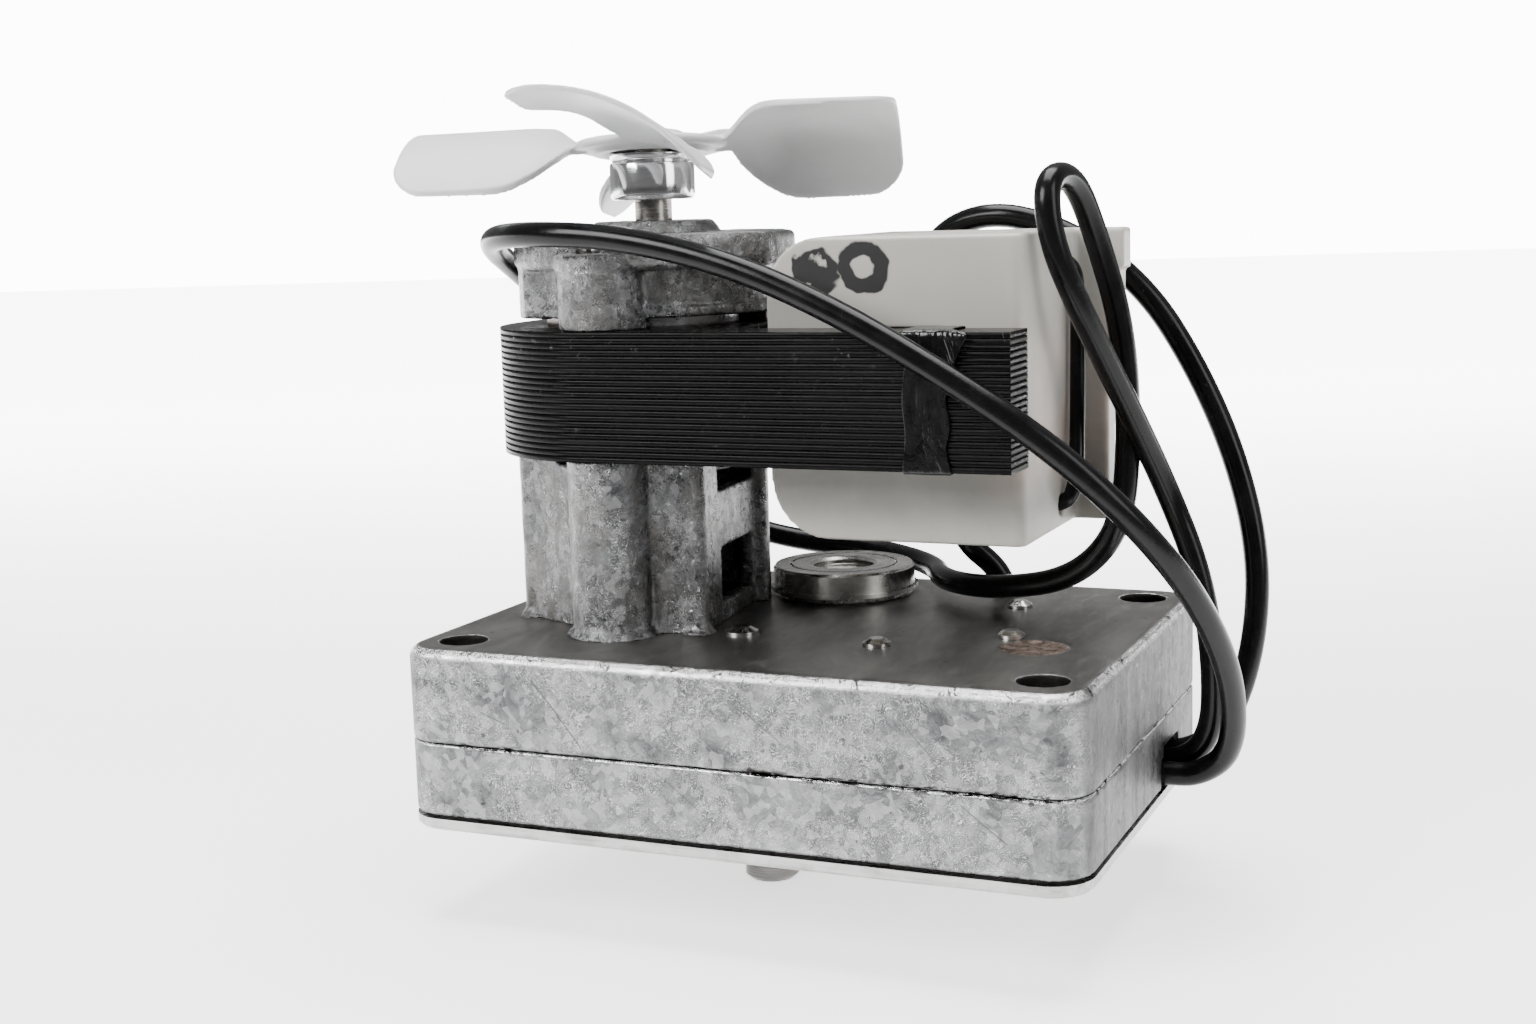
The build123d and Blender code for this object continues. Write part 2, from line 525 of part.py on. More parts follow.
fan = fan.rotate(Axis((AX, 0, FAN_Z), (math.cos(math.radians(TILT_DIR)), math.sin(math.radians(TILT_DIR)), 0)), TILT)
fan = fan - cyl(AX, 0, 60, 80, SHAFT_R) - cyl(AX, 0, 66, HUB_Z1, HUB_R + 0.2)
put("fan", fan)

# ---------------------------------------------------------------- leads
def route(name, pts, dia, tight=()):
    """A round lead: straight runs joined by tangent arcs."""
    n = len(pts)
    V = [Vector(*p) for p in pts]
    radii = []
    for i in range(1, n - 1):
        a, b = V[i] - V[i - 1], V[i + 1] - V[i]
        turn = a.get_angle(b)
        r = 0.45 * min(a.length, b.length) / math.tan(math.radians(turn) / 2)
        radii.append(r)
    runs = [(V[i + 1] - V[i]).length for i in range(n - 1)]
    path = FilletPolyline(*pts, radius=radii)
    t0 = (V[1] - V[0]).normalized()
    plane = Plane(origin=V[0], z_dir=t0)
    tube_ = sweep(plane * Circle(dia / 2), path=path, transition=Transition.ROUND)
    vol, want = tube_.volume, math.pi * dia ** 2 / 4 * path.length
    print(name, "length %.1f" % path.length, "volume ratio %.4f" % (vol / want),
          "radii", [round(r, 1) for r in radii], "runs", [round(r, 1) for r in runs])
    return tube_


LEAD_A = [
    (33.0, 11.3, 3.4), (39.0, 11.2, 3.4), (43.2, 10.2, 7.0), (43.8, 8.6, 15.5), (42.2, 9.2, 25.5),
    (38.5, 8.2, 35.5), (35.4, 0.5, 46.5), (32.6, -6.3, 56.0), (30.6, -9.0, 62.6), (30.0, -8.8, 68.8),
    (31.2, -2.6, 69.2), (32.6, 2.2, 62.3), (34.6, 5.2, 52.5), (35.2, 5.4, 41.0), (34.4, 5.0, 31.0),
    (28.6, 6.8, 24.9), (19.0, 9.6, 22.8), (10.8, 14.5, 22.4), (6.8, 23.2, 22.6), (-2.6, 28.0, 23.4),
    (-13.2, 27.0, 24.2), (-22.8, 25.0, 27.0), (-29.2, 22.6, 35.0), (-33.2, 19.0, 45.0), (-37.0, 10.6, 54.4),
    (-37.4, -0.8, 60.4), (-34.0, -12.8, 64.2), (-23.6, -20.4, 65.0), (-11.8, -21.0, 64.2), (0.6, -21.4, 61.2),
    (12.4, -21.6, 56.2), (22.8, -21.6, 50.4), (33.4, -21.2, 43.6), (41.2, -17.4, 35.6), (45.9, -9.8, 26.6),
    (47.7, -1.2, 16.6), (46.4, 6.2, 7.0), (42.4, 8.4, 3.3), (38.4, 8.2, 3.2), (33.6, 8.1, 3.2),
]
LEAD_C = [
    (33.0, 14.6, 3.4), (39.0, 14.6, 3.5), (44.0, 15.6, 7.2), (46.6, 17.2, 16.0), (46.8, 18.4, 26.5),
    (44.0, 19.0, 37.5), (39.6, 18.8, 47.5), (34.0, 18.2, 56.5), (25.6, 17.2, 63.0), (16.0, 16.8, 65.6),
    (8.2, 18.4, 62.0), (6.2, 20.6, 53.5), (7.2, 20.8, 43.5), (9.2, 19.6, 34.0), (12.4, 17.2, 26.8),
    (16.4, 18.6, 23.4), (17.4, 18.9, 19.8), (17.4, 18.9, 16.6),
]
COIL_LEAD_D = 1.7
COIL_LEAD = [
    (26.6, 2.4, 33.9), (29.2, 2.4, 33.9), (30.0, 3.0, 36.6), (29.75, 4.3, 42.0), (29.7, 4.9, 49.5),
    (29.7, 5.0, 56.2), (29.2, 4.8, 60.2), (26.8, 4.7, 60.45),
]
put("lead_a", route("lead_a", LEAD_A, LEAD_D))
put("lead_c", route("lead_c", LEAD_C, LEAD_D))
put("coil_lead", route("coil_lead", COIL_LEAD, COIL_LEAD_D))
nodes["gearbox_top_case"] = nodes["gearbox_top_case"] - cyl(17.4, 18.9, 15, 25, LEAD_D / 2 + 0.15)

for name, shape in nodes.items():
    export_step(shape, "parts/%s.step" % name)
print(len(nodes), "nodes")
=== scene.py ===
import bpy
import bmesh
import math
import random
from mathutils import Vector, Matrix, noise


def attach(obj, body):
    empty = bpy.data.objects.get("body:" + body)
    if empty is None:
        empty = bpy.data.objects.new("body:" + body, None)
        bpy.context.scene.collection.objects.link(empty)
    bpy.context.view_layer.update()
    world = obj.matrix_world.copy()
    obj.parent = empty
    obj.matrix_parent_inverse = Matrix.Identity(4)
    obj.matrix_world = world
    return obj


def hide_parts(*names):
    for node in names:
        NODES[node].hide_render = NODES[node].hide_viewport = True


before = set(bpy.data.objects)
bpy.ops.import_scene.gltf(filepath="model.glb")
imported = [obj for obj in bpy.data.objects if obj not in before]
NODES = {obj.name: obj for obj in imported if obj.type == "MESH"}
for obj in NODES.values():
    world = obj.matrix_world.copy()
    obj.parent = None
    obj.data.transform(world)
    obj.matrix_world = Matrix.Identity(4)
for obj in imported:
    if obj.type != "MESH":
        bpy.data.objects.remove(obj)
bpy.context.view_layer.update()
MM = 0.001
rng = random.Random(7)

# ================================================================ camera
YAW, PITCH, ROLL = math.radians(23.65), math.radians(8.83), math.radians(-1.64)
fwd = Vector((-math.sin(YAW) * math.cos(PITCH), math.cos(YAW) * math.cos(PITCH), -math.sin(PITCH)))
right = Vector((math.cos(YAW), math.sin(YAW), 0))
up = right.cross(fwd)
cx = right * math.cos(ROLL) + up * math.sin(ROLL)
cy = -right * math.sin(ROLL) + up * math.cos(ROLL)
cam_data = bpy.data.cameras.new("camera")
cam_data.lens = 47.42
cam_data.sensor_width = 36
cam_data.clip_start = 0.01
cam = bpy.data.objects.new("camera", cam_data)
bpy.context.scene.collection.objects.link(cam)
cam.matrix_world = Matrix.Translation(Vector((86.1, -208.4, 67.6)) * MM) @ Matrix((cx, cy, -fwd)).transposed().to_4x4()
bpy.context.scene.camera = cam


# ================================================================ material builder
class G:
    """A small builder for one node material."""

    def __init__(s, name, color=(0.5, 0.5, 0.5), rough=0.5, metal=0.0, **sockets):
        s.m = bpy.data.materials.new(name)
        s.m.use_nodes = True
        s.t = s.m.node_tree
        s.t.nodes.clear()
        s.out = s.n("ShaderNodeOutputMaterial")
        s.b = s.n("ShaderNodeBsdfPrincipled")
        s.l(s.b.outputs[0], s.out.inputs[0])
        tc = s.n("ShaderNodeTexCoord")
        s.co, s.nrm = tc.outputs["Object"], tc.outputs["Normal"]
        s.b.inputs["Base Color"].default_value = (*color, 1)
        s.b.inputs["Roughness"].default_value = rough
        s.b.inputs["Metallic"].default_value = metal
        for k, v in sockets.items():
            s.b.inputs[k.replace("_", " ")].default_value = v
        s.last_normal = None

    def n(s, typ, **kw):
        node = s.t.nodes.new(typ)
        for k, v in kw.items():
            setattr(node, k, v)
        return node

    def l(s, a, b):
        s.t.links.new(a, b)

    def put(s, v, socket):
        if isinstance(v, (int, float)):
            socket.default_value = (v, v, v, 1) if hasattr(socket.default_value, "__len__") else v
        elif isinstance(v, tuple):
            socket.default_value = (*v, 1) if len(v) == 3 and len(socket.default_value) == 4 else v
        else:
            s.l(v, socket)

    def mapping(s, scale=(1, 1, 1), rot=(0, 0, 0), loc=(0, 0, 0), vec=None):
        m = s.n("ShaderNodeMapping")
        s.l(vec or s.co, m.inputs[0])
        m.inputs["Scale"].default_value = scale
        m.inputs["Rotation"].default_value = rot
        m.inputs["Location"].default_value = loc
        return m.outputs[0]

    def noise(s, scale, detail=4.0, rough=0.55, dist=0.0, vec=None, color=False):
        x = s.n("ShaderNodeTexNoise")
        s.l(vec or s.co, x.inputs["Vector"])
        x.inputs["Scale"].default_value = scale
        x.inputs["Detail"].default_value = detail
        x.inputs["Roughness"].default_value = rough
        x.inputs["Distortion"].default_value = dist
        return x.outputs["Color" if color else "Fac"]

    def vor(s, scale, feature="F1", vec=None, out="Distance", rand=1.0):
        x = s.n("ShaderNodeTexVoronoi", feature=feature)
        s.l(vec or s.co, x.inputs["Vector"])
        x.inputs["Scale"].default_value = scale
        x.inputs["Randomness"].default_value = rand
        return x.outputs[out]

    def warp(s, amount, scale, vec=None):
        """Object coordinates pushed about by noise; amount in metres."""
        nz = s.noise(scale, 2.0, color=True, vec=vec)
        v = s.n("ShaderNodeVectorMath", operation="SUBTRACT")
        s.l(nz, v.inputs[0]); v.inputs[1].default_value = (0.5, 0.5, 0.5)
        w = s.n("ShaderNodeVectorMath", operation="SCALE")
        s.l(v.outputs[0], w.inputs[0]); w.inputs["Scale"].default_value = amount
        a = s.n("ShaderNodeVectorMath", operation="ADD")
        s.l(vec or s.co, a.inputs[0]); s.l(w.outputs[0], a.inputs[1])
        return a.outputs[0]

    def ramp(s, fac, *stops, interp="LINEAR"):
        r = s.n("ShaderNodeValToRGB")
        e = r.color_ramp.elements
        r.color_ramp.interpolation = interp
        while len(e) < len(stops):
            e.new(0.5)
        for el, (p, v) in zip(e, stops):
            el.position = p
            el.color = (v, v, v, 1) if isinstance(v, (int, float)) else (*v, 1)
        s.l(fac, r.inputs[0])
        return r.outputs[0]

    def mix(s, fac, a, b, mode="MIX"):
        x = s.n("ShaderNodeMix", data_type="RGBA", blend_type=mode)
        s.put(fac, x.inputs["Factor"])
        s.put(a, x.inputs[6])
        s.put(b, x.inputs[7])
        return x.outputs[2]

    def math(s, op, a, b=0.0, c=None, clamp=False):
        x = s.n("ShaderNodeMath", operation=op, use_clamp=clamp)
        s.put(a, x.inputs[0])
        s.put(b, x.inputs[1])
        if c is not None:
            s.put(c, x.inputs[2])
        return x.outputs[0]

    def xyz(s, vec=None):
        x = s.n("ShaderNodeSeparateXYZ")
        s.l(vec or s.co, x.inputs[0])
        return x.outputs

    def span(s, v, lo, hi, inv=False):
        """Smooth 0..1 of v between lo and hi."""
        x = s.n("ShaderNodeMapRange", interpolation_type="SMOOTHSTEP")
        s.put(v, x.inputs["Value"])
        x.inputs["From Min"].default_value = lo
        x.inputs["From Max"].default_value = hi
        x.inputs["To Min"].default_value = 1.0 if inv else 0.0
        x.inputs["To Max"].default_value = 0.0 if inv else 1.0
        return x.outputs["Result"]

    def seg(s, p, q, w, plane="xz", soft=0.5, vec=None):
        """Mask of a thin straight scratch from p to q (mm) on a face seen along the third axis."""
        o = s.xyz(vec)
        a, b = (o[0], o[2]) if plane == "xz" else (o[0], o[1]) if plane == "xy" else (o[1], o[2])
        dx, dy = (q[0] - p[0]) * MM, (q[1] - p[1]) * MM
        L = math.hypot(dx, dy)
        ux, uy = dx / L, dy / L
        a = s.math("SUBTRACT", a, p[0] * MM)
        b = s.math("SUBTRACT", b, p[1] * MM)
        u = s.math("ADD", s.math("MULTIPLY", a, ux), s.math("MULTIPLY", b, uy))
        v = s.math("ABSOLUTE", s.math("SUBTRACT", s.math("MULTIPLY", b, ux), s.math("MULTIPLY", a, uy)))
        mv = s.span(v, w * MM * soft, w * MM, inv=True)
        m1 = s.span(u, 0.0, 0.0004)
        m2 = s.span(u, L - 0.0004, L, inv=True)
        return s.math("MULTIPLY", mv, s.math("MULTIPLY", m1, m2))

    def dist2(s, x0, z0, plane="xz", vec=None):
        """Distance in metres from (x0, z0) mm in a plane."""
        o = s.xyz(vec)
        a, b = (o[0], o[2]) if plane == "xz" else (o[0], o[1]) if plane == "xy" else (o[1], o[2])
        a = s.math("SUBTRACT", a, x0 * MM)
        b = s.math("SUBTRACT", b, z0 * MM)
        return s.math("SQRT", s.math("ADD", s.math("MULTIPLY", a, a), s.math("MULTIPLY", b, b)))

    def bump(s, h, strength=0.3, dist=0.0002):
        x = s.n("ShaderNodeBump")
        x.inputs["Strength"].default_value = strength
        x.inputs["Distance"].default_value = dist
        s.l(h, x.inputs["Height"])
        if s.last_normal is not None:
            s.l(s.last_normal, x.inputs["Normal"])
        s.last_normal = x.outputs[0]
        s.l(x.outputs[0], s.b.inputs["Normal"])
        return x

    def color(s, v):
        s.put(v, s.b.inputs["Base Color"])

    def rough(s, v):
        s.put(v, s.b.inputs["Roughness"])


def assign(obj, g):
    obj.data.materials.clear()
    obj.data.materials.append(g.m)


# ---------------------------------------------------------------- die castings
def die_cast(name, top_dark=True, bright=1.0, pits=1.0, box=False):
    g = G(name, (0.6, 0.6, 0.6), 0.4, 1.0)
    n = g.xyz(g.nrm)
    w = g.warp(0.0012, 260)
    cells = g.vor(1150, vec=w, out="Color")
    cellv = g.xyz(cells)[0]
    cloud = g.noise(210, 6, 0.68, 1.2)
    fine = g.noise(900, 6, 0.7, 1.5)
    squig = g.noise(620, 2, 0.45, 7.0)
    # mottled bright skin with small crystalline patches
    base = g.mix(g.ramp(cloud, (0.32, 0.0), (0.68, 1.0)), (0.07 * bright, 0.071 * bright, 0.073 * bright), (0.25 * bright, 0.253 * bright, 0.255 * bright))
    base = g.mix(g.math("MULTIPLY", g.ramp(cellv, (0.45, 0.0), (0.9, 1.0)), 0.34), base, (0.55 * bright, 0.55 * bright, 0.56 * bright))
    lines = g.ramp(squig, (0.0, 0.0), (0.47, 0.0), (0.495, 1.0), (0.505, 1.0), (0.53, 0.0), (1.0, 0.0))
    patchy = g.ramp(g.noise(240, 3, 0.5), (0.40, 0.0), (0.56, 1.0))
    lines = g.math("MULTIPLY", lines, patchy)
    base = g.mix(g.math("MULTIPLY", lines, 0.75), base, (0.95, 0.95, 0.95))
    squig2 = g.noise(560, 2, 0.4, 5.0, vec=g.mapping(loc=(0.031, 0.013, 0.007)))
    lines2 = g.ramp(squig2, (0.0, 0.0), (0.475, 0.0), (0.5, 1.0), (0.525, 0.0), (1.0, 0.0))
    lines2 = g.math("MULTIPLY", lines2, g.ramp(g.noise(240, 3, 0.5, vec=g.mapping(loc=(0.05, 0, 0))), (0.44, 0.0), (0.60, 1.0)))
    base = g.mix(g.math("MULTIPLY", lines2, 0.7), base, (0.05, 0.05, 0.05))
    pit = g.ramp(g.vor(520, vec=g.warp(0.0006, 900)), (0.0, 1.0), (0.10, 1.0), (0.17, 0.0))
    pit = g.math("MULTIPLY", pit, g.ramp(g.noise(160, 2, 0.5, vec=g.mapping(loc=(0, 0.02, 0.01))), (0.56, 0.0), (0.64, pits)))
    base = g.mix(g.math("MULTIPLY", pit, 0.85), base, (0.05, 0.048, 0.045))
    g.base, g.n3, g.fine, g.cloud, g.lines, g.lines2, g.pit, g.cellv = base, n, fine, cloud, lines, lines2, pit, cellv
    rough = g.math("ADD", g.math("MULTIPLY", g.ramp(fine, (0.3, 0.0), (0.7, 1.0)), 0.22), g.math("MULTIPLY", cellv, 0.14))
    g.r = g.math("ADD", rough, 0.20)
    h = g.math("ADD", g.math("MULTIPLY", cellv, 0.35), g.math("MULTIPLY", fine, 0.8))
    h = g.math("ADD", h, g.math("MULTIPLY", cloud, 1.2))
    h = g.math("ADD", h, g.math("MULTIPLY", lines, 0.5))
    h = g.math("SUBTRACT", h, g.math("MULTIPLY", lines2, 0.5))
    h = g.math("SUBTRACT", h, g.math("MULTIPLY", pit, 1.6))
    g.h = h
    return g


def box_metal(name):
    g = die_cast(name, box=True)
    o = g.xyz()
    nz = g.n3[2]
    top = g.span(nz, 0.93, 0.985)
    edge_wear_and_highlight = g.math("MULTIPLY", g.span(nz, 0.22, 0.55), g.span(nz, 0.90, 0.975, inv=True))
    # the top face: coloured darker as painted shade, smoother, brushed about in long soft smears
    smear = g.noise(90, 4, 0.6, 1.2, vec=g.mapping(scale=(1.0, 0.35, 1.0), rot=(0, 0, 0.5)))
    smear2 = g.noise(420, 5, 0.65, 2.2, vec=g.mapping(scale=(1.0, 0.4, 1.0), rot=(0, 0, -0.35)))
    top_shade_and_smears = g.mix(g.ramp(smear, (0.35, 0.0), (0.7, 1.0)), (0.16, 0.155, 0.15), (0.34, 0.335, 0.325))
    top_shade_and_smears = g.mix(g.math("MULTIPLY", g.ramp(smear2, (0.5, 0.0), (0.7, 1.0)), 0.4), top_shade_and_smears, (0.42, 0.415, 0.40))
    top_shade_and_smears = g.mix(g.math("MULTIPLY", g.lines, 0.25), top_shade_and_smears, (0.45, 0.45, 0.45))
    top_shade_and_smears = g.mix(g.math("MULTIPLY", g.pit, 0.6), top_shade_and_smears, (0.05, 0.045, 0.04))
    col = g.mix(top, g.base, top_shade_and_smears)
    # worn bright edge with nicks, partly a painted highlight: only the up-facing rounded edges are coloured bright
    nick = g.ramp(g.noise(650, 4, 0.7, 1.0), (0.36, 1.0), (0.43, 0.0))
    edge_wear_and_highlight_col = g.mix(nick, (0.70, 0.70, 0.70), (0.12, 0.115, 0.11))
    col = g.mix(edge_wear_and_highlight, col, edge_wear_and_highlight_col)
    # dirt and small pits along the parting line
    z = o[2]
    part = g.math("ABSOLUTE", g.math("SUBTRACT", z, 0.0098))
    pl = g.span(part, 0.0001, 0.00075, inv=True)
    pits = g.ramp(g.noise(520, 4, 0.7, 0.4, vec=g.mapping(scale=(1, 1, 2.4))), (0.44, 1.0), (0.50, 0.0))
    gate = g.ramp(g.noise(55, 2, 0.5), (0.44, 0.0), (0.56, 1.0))
    pm = g.math("MULTIPLY", g.math("MULTIPLY", pl, pits), gate)
    col = g.mix(pm, col, (0.02, 0.018, 0.016))
    # long scratches across the front
    scr = None
    for p, q, wd in (((-21.4, 18.0), (-15.6, 10.8), 0.10), ((-28.0, 14.0), (-24.6, 12.6), 0.07), ((3.0, 16.4), (7.4, 13.2), 0.06),
                     ((20.0, 17.0), (24.0, 12.4), 0.06), ((-6.0, 8.4), (-2.0, 5.2), 0.06), ((26.0, 8.8), (31.0, 5.0), 0.06)):
        m = g.seg(p, q, wd, vec=g.warp(0.0005, 150))
        scr = m if scr is None else g.math("MAXIMUM", scr, m)
    front = g.span(g.n3[1], -0.9, -0.7, inv=True)
    scr = g.math("MULTIPLY", scr, front)
    col = g.mix(g.math("MULTIPLY", scr, 0.8), col, (0.10, 0.10, 0.10))
    # the right end: coloured darker as painted shade, streaked up and down
    right_end_shade = g.span(g.n3[0], 0.75, 0.95)
    streak = g.noise(300, 4, 0.6, 0.5, vec=g.mapping(scale=(1, 1.6, 0.18)))
    right_end_shade_col = g.mix(g.ramp(streak, (0.35, 0.0), (0.65, 1.0)), (0.045, 0.045, 0.045), (0.15, 0.15, 0.15))
    right_end_shade_col = g.mix(g.math("MULTIPLY", g.pit, 0.7), right_end_shade_col, (0.06, 0.06, 0.06))
    col = g.mix(g.math("MULTIPLY", right_end_shade, 0.85), col, right_end_shade_col)
    # the gouged patch on the top: rough, brown, crescent shaped
    d = g.dist2(28.1, -7.4, "xy", vec=g.warp(0.0007, 500))
    patch = g.math("MULTIPLY", g.span(d, 0.0034, 0.0039, inv=True), g.span(nz, 0.5, 0.8))
    pc = g.mix(g.ramp(g.noise(900, 5, 0.7), (0.35, 0.0), (0.65, 1.0)), (0.03, 0.022, 0.018), (0.42, 0.33, 0.28))
    col = g.mix(patch, col, pc)
    # the corner holes are coloured dark inside: painted shade in the recesses
    hd = g.n("ShaderNodeCombineXYZ")
    g.l(g.math("SUBTRACT", g.math("ABSOLUTE", o[0]), 0.033), hd.inputs[0])
    g.l(g.math("SUBTRACT", g.math("ABSOLUTE", o[1]), 0.0213), hd.inputs[1])
    hl = g.n("ShaderNodeVectorMath", operation="LENGTH")
    g.l(hd.outputs[0], hl.inputs[0])
    hole_painted_shade = g.span(hl.outputs["Value"], 0.00262, 0.00285, inv=True)
    col = g.mix(hole_painted_shade, col, (0.018, 0.017, 0.016))
    g.color(col)
    r = g.mix(top, g.r, g.ramp(smear2, (0.3, 0.30), (0.7, 0.42)))
    r = g.mix(edge_wear_and_highlight, r, 0.2)
    r = g.mix(patch, r, 0.6)
    r = g.mix(hole_painted_shade, r, 0.55)
    g.rough(r)
    h = g.mix(top, g.h, g.math("ADD", g.math("MULTIPLY", smear2, 0.16), g.math("MULTIPLY", smear, 0.35)))
    h = g.math("SUBTRACT", h, g.math("MULTIPLY", pm, 3.0))
    h = g.math("SUBTRACT", h, g.math("MULTIPLY", scr, 1.2))
    h = g.math("ADD", h, g.math("MULTIPLY", g.math("MULTIPLY", patch, g.noise(1100, 4, 0.7)), 3.0))
    g.bump(h, 0.5, 0.00022)
    g.b.inputs["Specular Tint"].default_value = (0.8, 0.8, 0.8, 1.0)
    return g


def bracket_metal(name):
    g = die_cast(name, bright=0.78, pits=1.0)
    flow = g.noise(260, 5, 0.62, 1.4, vec=g.mapping(scale=(1, 1, 0.45)))
    col = g.mix(g.math("MULTIPLY", g.ramp(flow, (0.42, 1.0), (0.52, 0.0)), 0.6), g.base, (0.10, 0.097, 0.093))
    grime = g.ramp(g.noise(130, 4, 0.6, 0.6, vec=g.mapping(loc=(0.01, 0.02, 0))), (0.5, 0.0), (0.7, 0.5))
    col = g.mix(grime, col, (0.13, 0.12, 0.108))
    # painted light: up-facing faces are coloured lighter
    up_painted_light = g.span(g.n3[2], 0.9, 0.98)
    col = g.mix(g.math("MULTIPLY", up_painted_light, 0.3), col, (0.5, 0.5, 0.49))
    g.color(col)
    g.rough(g.math("ADD", g.math("SUBTRACT", g.r, 0.11), g.math("MULTIPLY", g.ramp(flow, (0.4, 1.0), (0.6, 0.0)), 0.10)))
    h = g.math("ADD", g.h, g.math("MULTIPLY", flow, 1.5))
    g.bump(h, 0.55, 0.0003)
    return g


# ---------------------------------------------------------------- plain steels
def steel(name, color, rough=0.3, lines="z", center=None, scale=1.0, dark=0.4, bump=0.15, spots=0.0):
    """Turned or ground steel. lines 'z' rings a shaft, 'ring' rings a flat face round center, any other value streaks
    it along x.
    """
    g = G(name, color, rough, 1.0)
    if lines == "z":
        v = g.mapping(scale=(0.02, 0.02, 1.0))
        a = g.noise(3200 * scale, 3, 0.6, vec=v)
    elif lines == "ring":
        d = g.dist2(center[0], center[1], "xy")
        comb = g.n("ShaderNodeCombineXYZ")
        g.l(d, comb.inputs[0])
        a = g.noise(4200 * scale, 3, 0.6, vec=comb.outputs[0])
    else:
        a = g.noise(2200 * scale, 3, 0.6, vec=g.mapping(scale=(0.06, 1.0, 1.0)))
    b = g.noise(180 * scale, 4, 0.6, 0.8)
    dk = tuple(c * dark for c in color)
    col = g.mix(g.ramp(b, (0.35, 0.0), (0.7, 1.0)), dk, color)
    col = g.mix(g.math("MULTIPLY", g.ramp(a, (0.35, 0.0), (0.65, 1.0)), 0.4), col, tuple(min(1, c * 1.35) for c in color))
    if spots:
        st = g.ramp(g.noise(420, 5, 0.7, 0.6), (0.58, 0.0), (0.70, spots))
        col = g.mix(st, col, (0.16, 0.10, 0.06))
    g.color(col)
    g.rough(g.math("ADD", g.math("MULTIPLY", a, 0.22), g.math("MULTIPLY", b, rough * 0.9)))
    g.bump(g.math("ADD", a, g.math("MULTIPLY", b, 0.5)), bump, 0.00008)
    return g


def plastic(name, c0, c1, rough=0.5, scale=300, bump=0.1, sss=0.0, radius=(1, 1, 1), **kw):
    g = G(name, c0, rough, 0.0, **kw)
    a = g.noise(scale, 5, 0.6, 0.5)
    f = g.noise(scale * 7, 3, 0.6)
    g.a, g.f = a, f
    g.col = g.mix(g.ramp(a, (0.3, 0.0), (0.7, 1.0)), c0, c1)
    g.color(g.col)
    g.rough(g.math("ADD", g.math("MULTIPLY", f, 0.15), rough - 0.07))
    g.bump(g.math("ADD", g.math("MULTIPLY", f, 0.5), a), bump, 0.0001)
    if sss:
        g.b.inputs["Subsurface Weight"].default_value = sss
        g.b.inputs["Subsurface Radius"].default_value = radius
        g.b.inputs["Subsurface Scale"].default_value = 0.001
    return g


# ================================================================ mesh helpers
def link(o):
    bpy.context.scene.collection.objects.link(o)
    return o


def mesh_obj(name, verts, faces, smooth=True):
    me = bpy.data.meshes.new(name)
    me.from_pydata([tuple(v) for v in verts], [], faces)
    me.validate()
    me.update()
    o = link(bpy.data.objects.new(name, me))
    if smooth:
        for p in me.polygons:
            p.use_smooth = True
    return o


def bake_mods(o):
    """Applies o's modifiers to its mesh."""
    bpy.context.view_layer.update()
    dg = bpy.context.evaluated_depsgraph_get()
    me = bpy.data.meshes.new_from_object(o.evaluated_get(dg))
    old = o.data
    o.modifiers.clear()
    o.data = me
    if old.users == 0:
        bpy.data.meshes.remove(old)
    return o


def recast(node, name, voxel=0.28, smooth=4, lump=0.0, lump_scale=300.0, body="housing", keep_flat=None):
    """A moulded or cast copy of a CAD node: one skin with softened edges."""
    src = NODES[node]
    me = src.data.copy()
    me.materials.clear()
    o = link(bpy.data.objects.new(name, me))
    bm = bmesh.new()
    bm.from_mesh(me)
    bmesh.ops.remove_doubles(bm, verts=bm.verts, dist=1e-6)
    bm.to_mesh(me)
    bm.free()
    r = o.modifiers.new("voxel", "REMESH")
    r.mode = "VOXEL"
    r.voxel_size = voxel * MM
    r.use_smooth_shade = True
    s = o.modifiers.new("soft", "SMOOTH")
    s.factor = 0.5
    s.iterations = smooth
    bake_mods(o)
    me = o.data
    if lump:
        me.update()
        n = len(me.vertices)
        co, no = [0.0] * (3 * n), [0.0] * (3 * n)
        me.vertices.foreach_get("co", co)
        me.vertices.foreach_get("normal", no)
        for i in range(n):
            x, y, z = co[3 * i:3 * i + 3]
            p = Vector((x, y, z)) * lump_scale
            k = (noise.noise(p) + 0.5 * noise.noise(p * 2.3)) * lump * MM
            co[3 * i] = x + no[3 * i] * k
            co[3 * i + 1] = y + no[3 * i + 1] * k
            co[3 * i + 2] = z + no[3 * i + 2] * k
        me.vertices.foreach_set("co", co)
        me.update()
    for p in me.polygons:
        p.use_smooth = True
    o.name = name
    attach(o, body)
    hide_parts(node)
    return o


def lathe(name, profile, x, y, seg=96):
    """Closed turned solid; profile is [(r, z), ...] in mm going round the section."""
    vs, fs = [], []
    n = len(profile)
    for i in range(seg):
        a = 2 * math.pi * i / seg
        for r, z in profile:
            vs.append(((x + r * math.cos(a)) * MM, (y + r * math.sin(a)) * MM, z * MM))
    for i in range(seg):
        j = (i + 1) % seg
        for k in range(n):
            l = (k + 1) % n
            fs.append((i * n + k, j * n + k, j * n + l, i * n + l))
    o = mesh_obj(name, vs, fs)
    bm = bmesh.new()
    bm.from_mesh(o.data)
    bmesh.ops.remove_doubles(bm, verts=bm.verts, dist=1e-7)
    bmesh.ops.recalc_face_normals(bm, faces=bm.faces)
    bm.to_mesh(o.data)
    bm.free()
    return o


